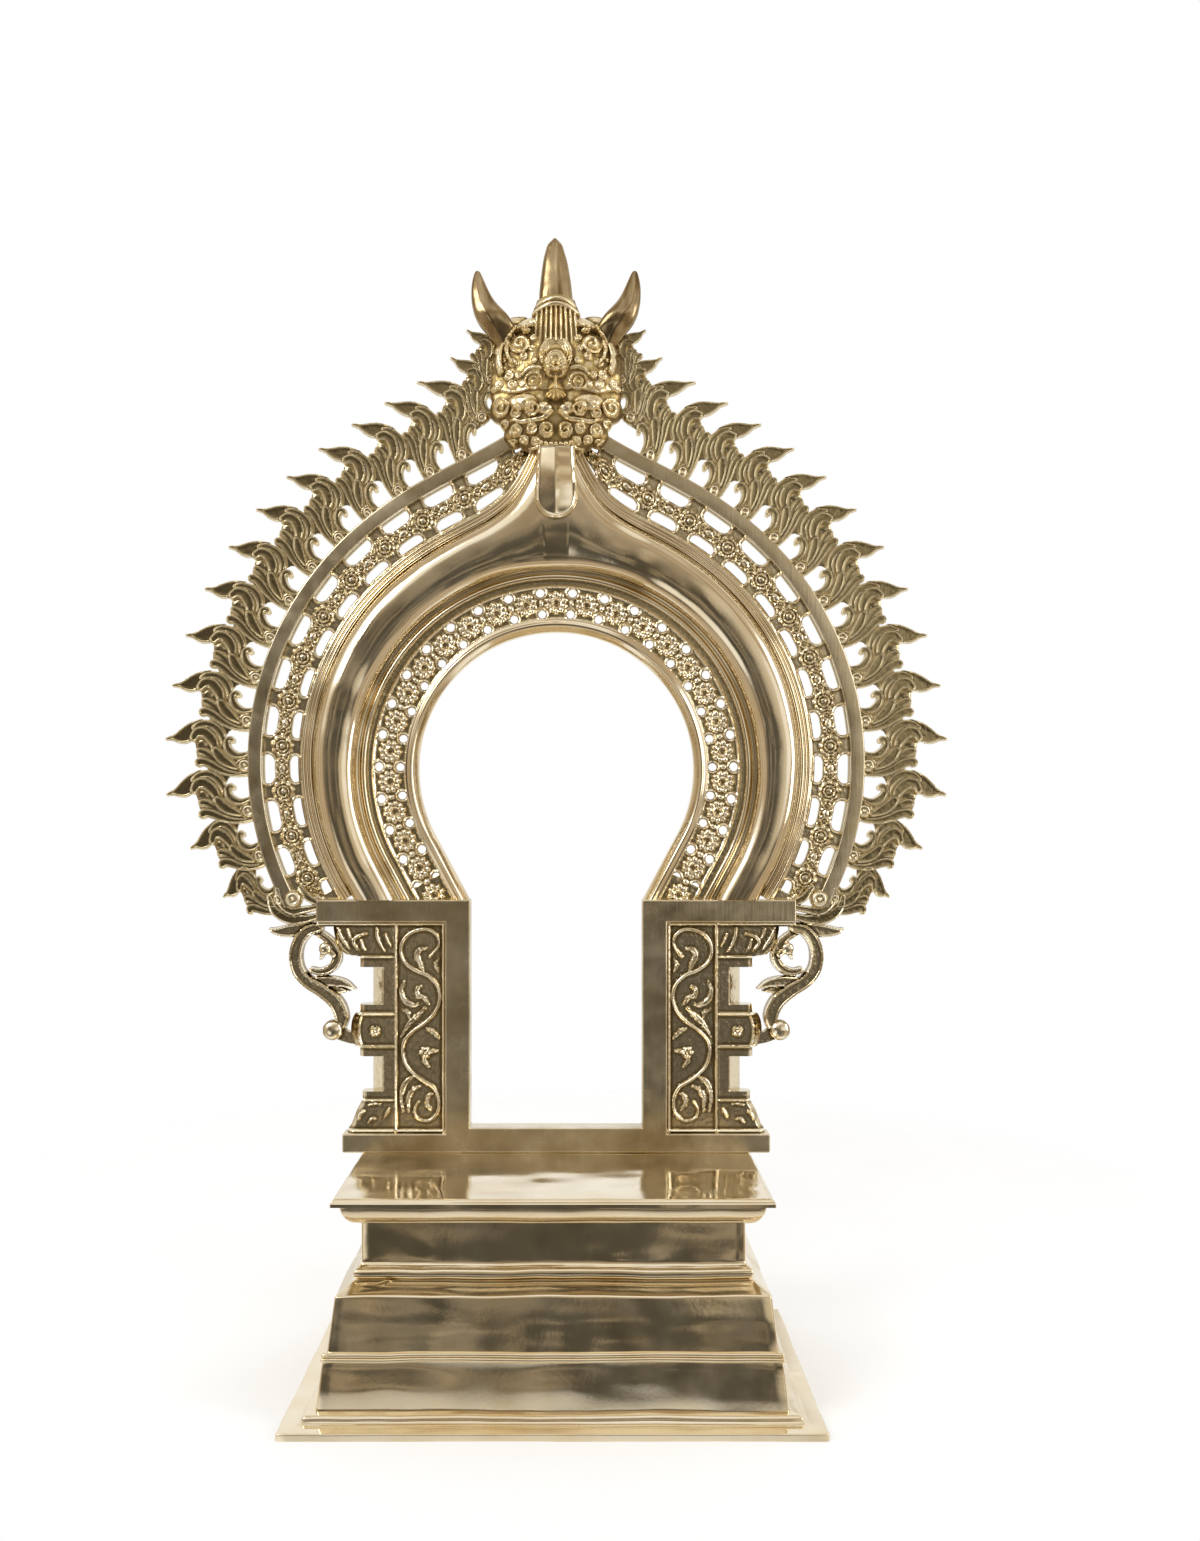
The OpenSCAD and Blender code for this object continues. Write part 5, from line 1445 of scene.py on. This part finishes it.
def make_floor():
    """A pale floor round and behind the foot that fades into the white about it on every side."""
    half, fade_near, fade_far = 0.7, 0.44, 0.6
    mesh = bpy.data.meshes.new("floor")
    corners = [(-half, -half, 0), (half, -half, 0), (half, half, 0), (-half, half, 0)]
    mesh.from_pydata(corners, [], [(0, 1, 2, 3)])
    floor = bpy.data.objects.new("floor", mesh)
    floor.location = (0, 0.36, 0)
    bpy.context.scene.collection.objects.link(floor)
    paint = bpy.data.materials.new("floor_paint")
    paint.use_nodes = True
    tree = paint.node_tree
    shader = tree.nodes["Principled BSDF"]
    shader.inputs["Roughness"].default_value = 0.5
    shader.inputs["Specular IOR Level"].default_value = 0.2
    colour = ramp(tree, noise(tree, 9.0, 2.0), [(0.3, (0.94, 0.935, 0.925)), (0.7, (0.96, 0.955, 0.945))])
    tree.links.new(colour, shader.inputs["Base Color"])
    clear = tree.nodes.new("ShaderNodeBsdfTransparent")
    fade = tree.nodes.new("ShaderNodeMixShader")
    far = tree.nodes.new("ShaderNodeVectorMath")
    far.operation = "LENGTH"
    tree.links.new(tree.nodes.new("ShaderNodeTexCoord").outputs["Object"], far.inputs[0])
    tree.links.new(remap(tree, far.outputs["Value"], fade_near, fade_far, 0.0, 1.0), fade.inputs["Fac"])
    tree.links.new(shader.outputs["BSDF"], fade.inputs[1])
    tree.links.new(clear.outputs["BSDF"], fade.inputs[2])
    tree.links.new(fade.outputs["Shader"], tree.nodes["Material Output"].inputs["Surface"])
    mesh.materials.append(paint)


def make_world():
    """White to the camera and for plain light; in reflections a white wall behind and above,
    and a dim brown room with soft windows in front."""
    world = bpy.data.worlds.new("room")
    bpy.context.scene.world = world
    world.use_nodes = True
    tree = world.node_tree
    sky = tree.nodes["Background"]
    way = tree.nodes.new("ShaderNodeTexCoord").outputs["Generated"]

    def toward(direction, low, high, ease="SMOOTHSTEP"):
        """How far a ray points in a direction: its cosine, eased from low to high."""
        dot = tree.nodes.new("ShaderNodeVectorMath")
        dot.operation = "DOT_PRODUCT"
        size = math.sqrt(sum(c * c for c in direction))
        dot.inputs[1].default_value = [c / size for c in direction]
        tree.links.new(way, dot.inputs[0])
        return remap(tree, dot.outputs["Value"], low, high, 0.0, 1.0, ease)

    def mixed(share, first, second):
        """A colour that goes from the first to the second by a share."""
        node = tree.nodes.new("ShaderNodeMix")
        node.data_type = "RGBA"
        tree.links.new(share, node.inputs["Factor"])
        for key, value in (("A", first), ("B", second)):
            socket = [s for s in node.inputs if s.name == key and s.type == "RGBA"][0]
            if isinstance(value, tuple):
                socket.default_value = (*value, 1.0)
            else:
                tree.links.new(value, socket)
        return [s for s in node.outputs if s.type == "RGBA"][0]

    white, lit = (1.0, 1.0, 1.0), (1.0, 0.98, 0.95)
    patch = noise(tree, 3.0, 1.5, place=way)
    glow = noise(tree, 7.0, 1.0, place=way)
    ahead = tree.nodes.new("ShaderNodeMath")
    ahead.operation = "ADD"
    tree.links.new(toward((-0.08, -1, -0.2), -0.4, 1.0, "LINEAR"), ahead.inputs[0])
    tree.links.new(remap(tree, patch, 0.3, 0.7, -0.05, 0.04), ahead.inputs[1])
    room = ramp(tree, ahead.outputs["Value"], [
        (0.0, white), (1.0, (0.08, 0.072, 0.057)), (0.11, lit), (0.22, (0.7, 0.6, 0.47)),
        (0.33, (0.42, 0.345, 0.25)), (0.45, (0.66, 0.55, 0.42)), (0.55, (0.36, 0.29, 0.2)),
        (0.64, (0.72, 0.61, 0.47)), (0.72, (0.4, 0.32, 0.23)), (0.79, (0.64, 0.52, 0.39)),
        (0.85, (0.24, 0.195, 0.145)), (0.9, (0.09, 0.08, 0.064))])
    room = mixed(remap(tree, glow, 0.5, 0.72, 0.0, 0.75), room, (0.48, 0.4, 0.3))
    for direction, low, high, most, colour in (
            ((0.0, -0.9, 0.42), 0.92, 0.99, 0.7, (0.5, 0.42, 0.32)),
            ((0.36, -0.9, 0.12), 0.95, 0.99, 0.75, (0.85, 0.76, 0.62))):
        room = mixed(remap(tree, toward(direction, low, high), 0.0, 1.0, 0.0, most), room, colour)
    for direction, low, high in (((-0.75, -0.6, 0.45), 0.94, 0.98), ((0.85, -0.45, 0.35), 0.94, 0.98),
                                 ((0.1, -0.55, 1.0), 0.92, 0.97), ((-0.45, -0.85, -0.35), 0.97, 0.99),
                                 ((0.5, -0.8, 0.1), 0.97, 0.99), ((-0.3, -0.75, 0.55), 0.96, 0.985)):
        room = mixed(toward(direction, low, high), room, lit)
    rays = tree.nodes.new("ShaderNodeLightPath")
    tree.links.new(mixed(rays.outputs["Is Glossy Ray"], white, room), sky.inputs["Color"])
    sky.inputs["Strength"].default_value = 1.0


def make_lamp(name, place, aim, size, power):
    """A soft square lamp that looks at a point."""
    lamp = bpy.data.lights.new(name, "AREA")
    lamp.shape = "RECTANGLE"
    lamp.size, lamp.size_y = size
    lamp.energy = power
    piece = bpy.data.objects.new(name, lamp)
    bpy.context.scene.collection.objects.link(piece)
    piece.location = place
    way = np.array(aim) - np.array(place)
    level = math.hypot(way[0], way[1])
    piece.rotation_euler = (math.atan2(level, -way[2]), 0.0, math.atan2(-way[0], way[1]))


make_floor()
make_world()
make_lamp("key_lamp", (-0.9, -0.9, 1.15), (0, 0, 0.35), (0.6, 0.6), 6.0)
make_lamp("side_lamp", (1.1, -0.5, 0.6), (0, 0, 0.35), (0.35, 0.9), 3.5)

camera = bpy.data.cameras.new("camera")
camera.sensor_fit = "AUTO"
camera.sensor_width = 36.0
camera.lens = 35.04
camera.shift_x, camera.shift_y = 0.0136, 0.0289
camera.clip_end = 20.0
eye = bpy.data.objects.new("camera", camera)
bpy.context.scene.collection.objects.link(eye)
eye.location = (0.0146, -0.917, 0.3397)
eye.rotation_euler = (math.radians(90), 0, 0)
bpy.context.scene.camera = eye
bpy.context.scene.view_settings.view_transform = "Standard"
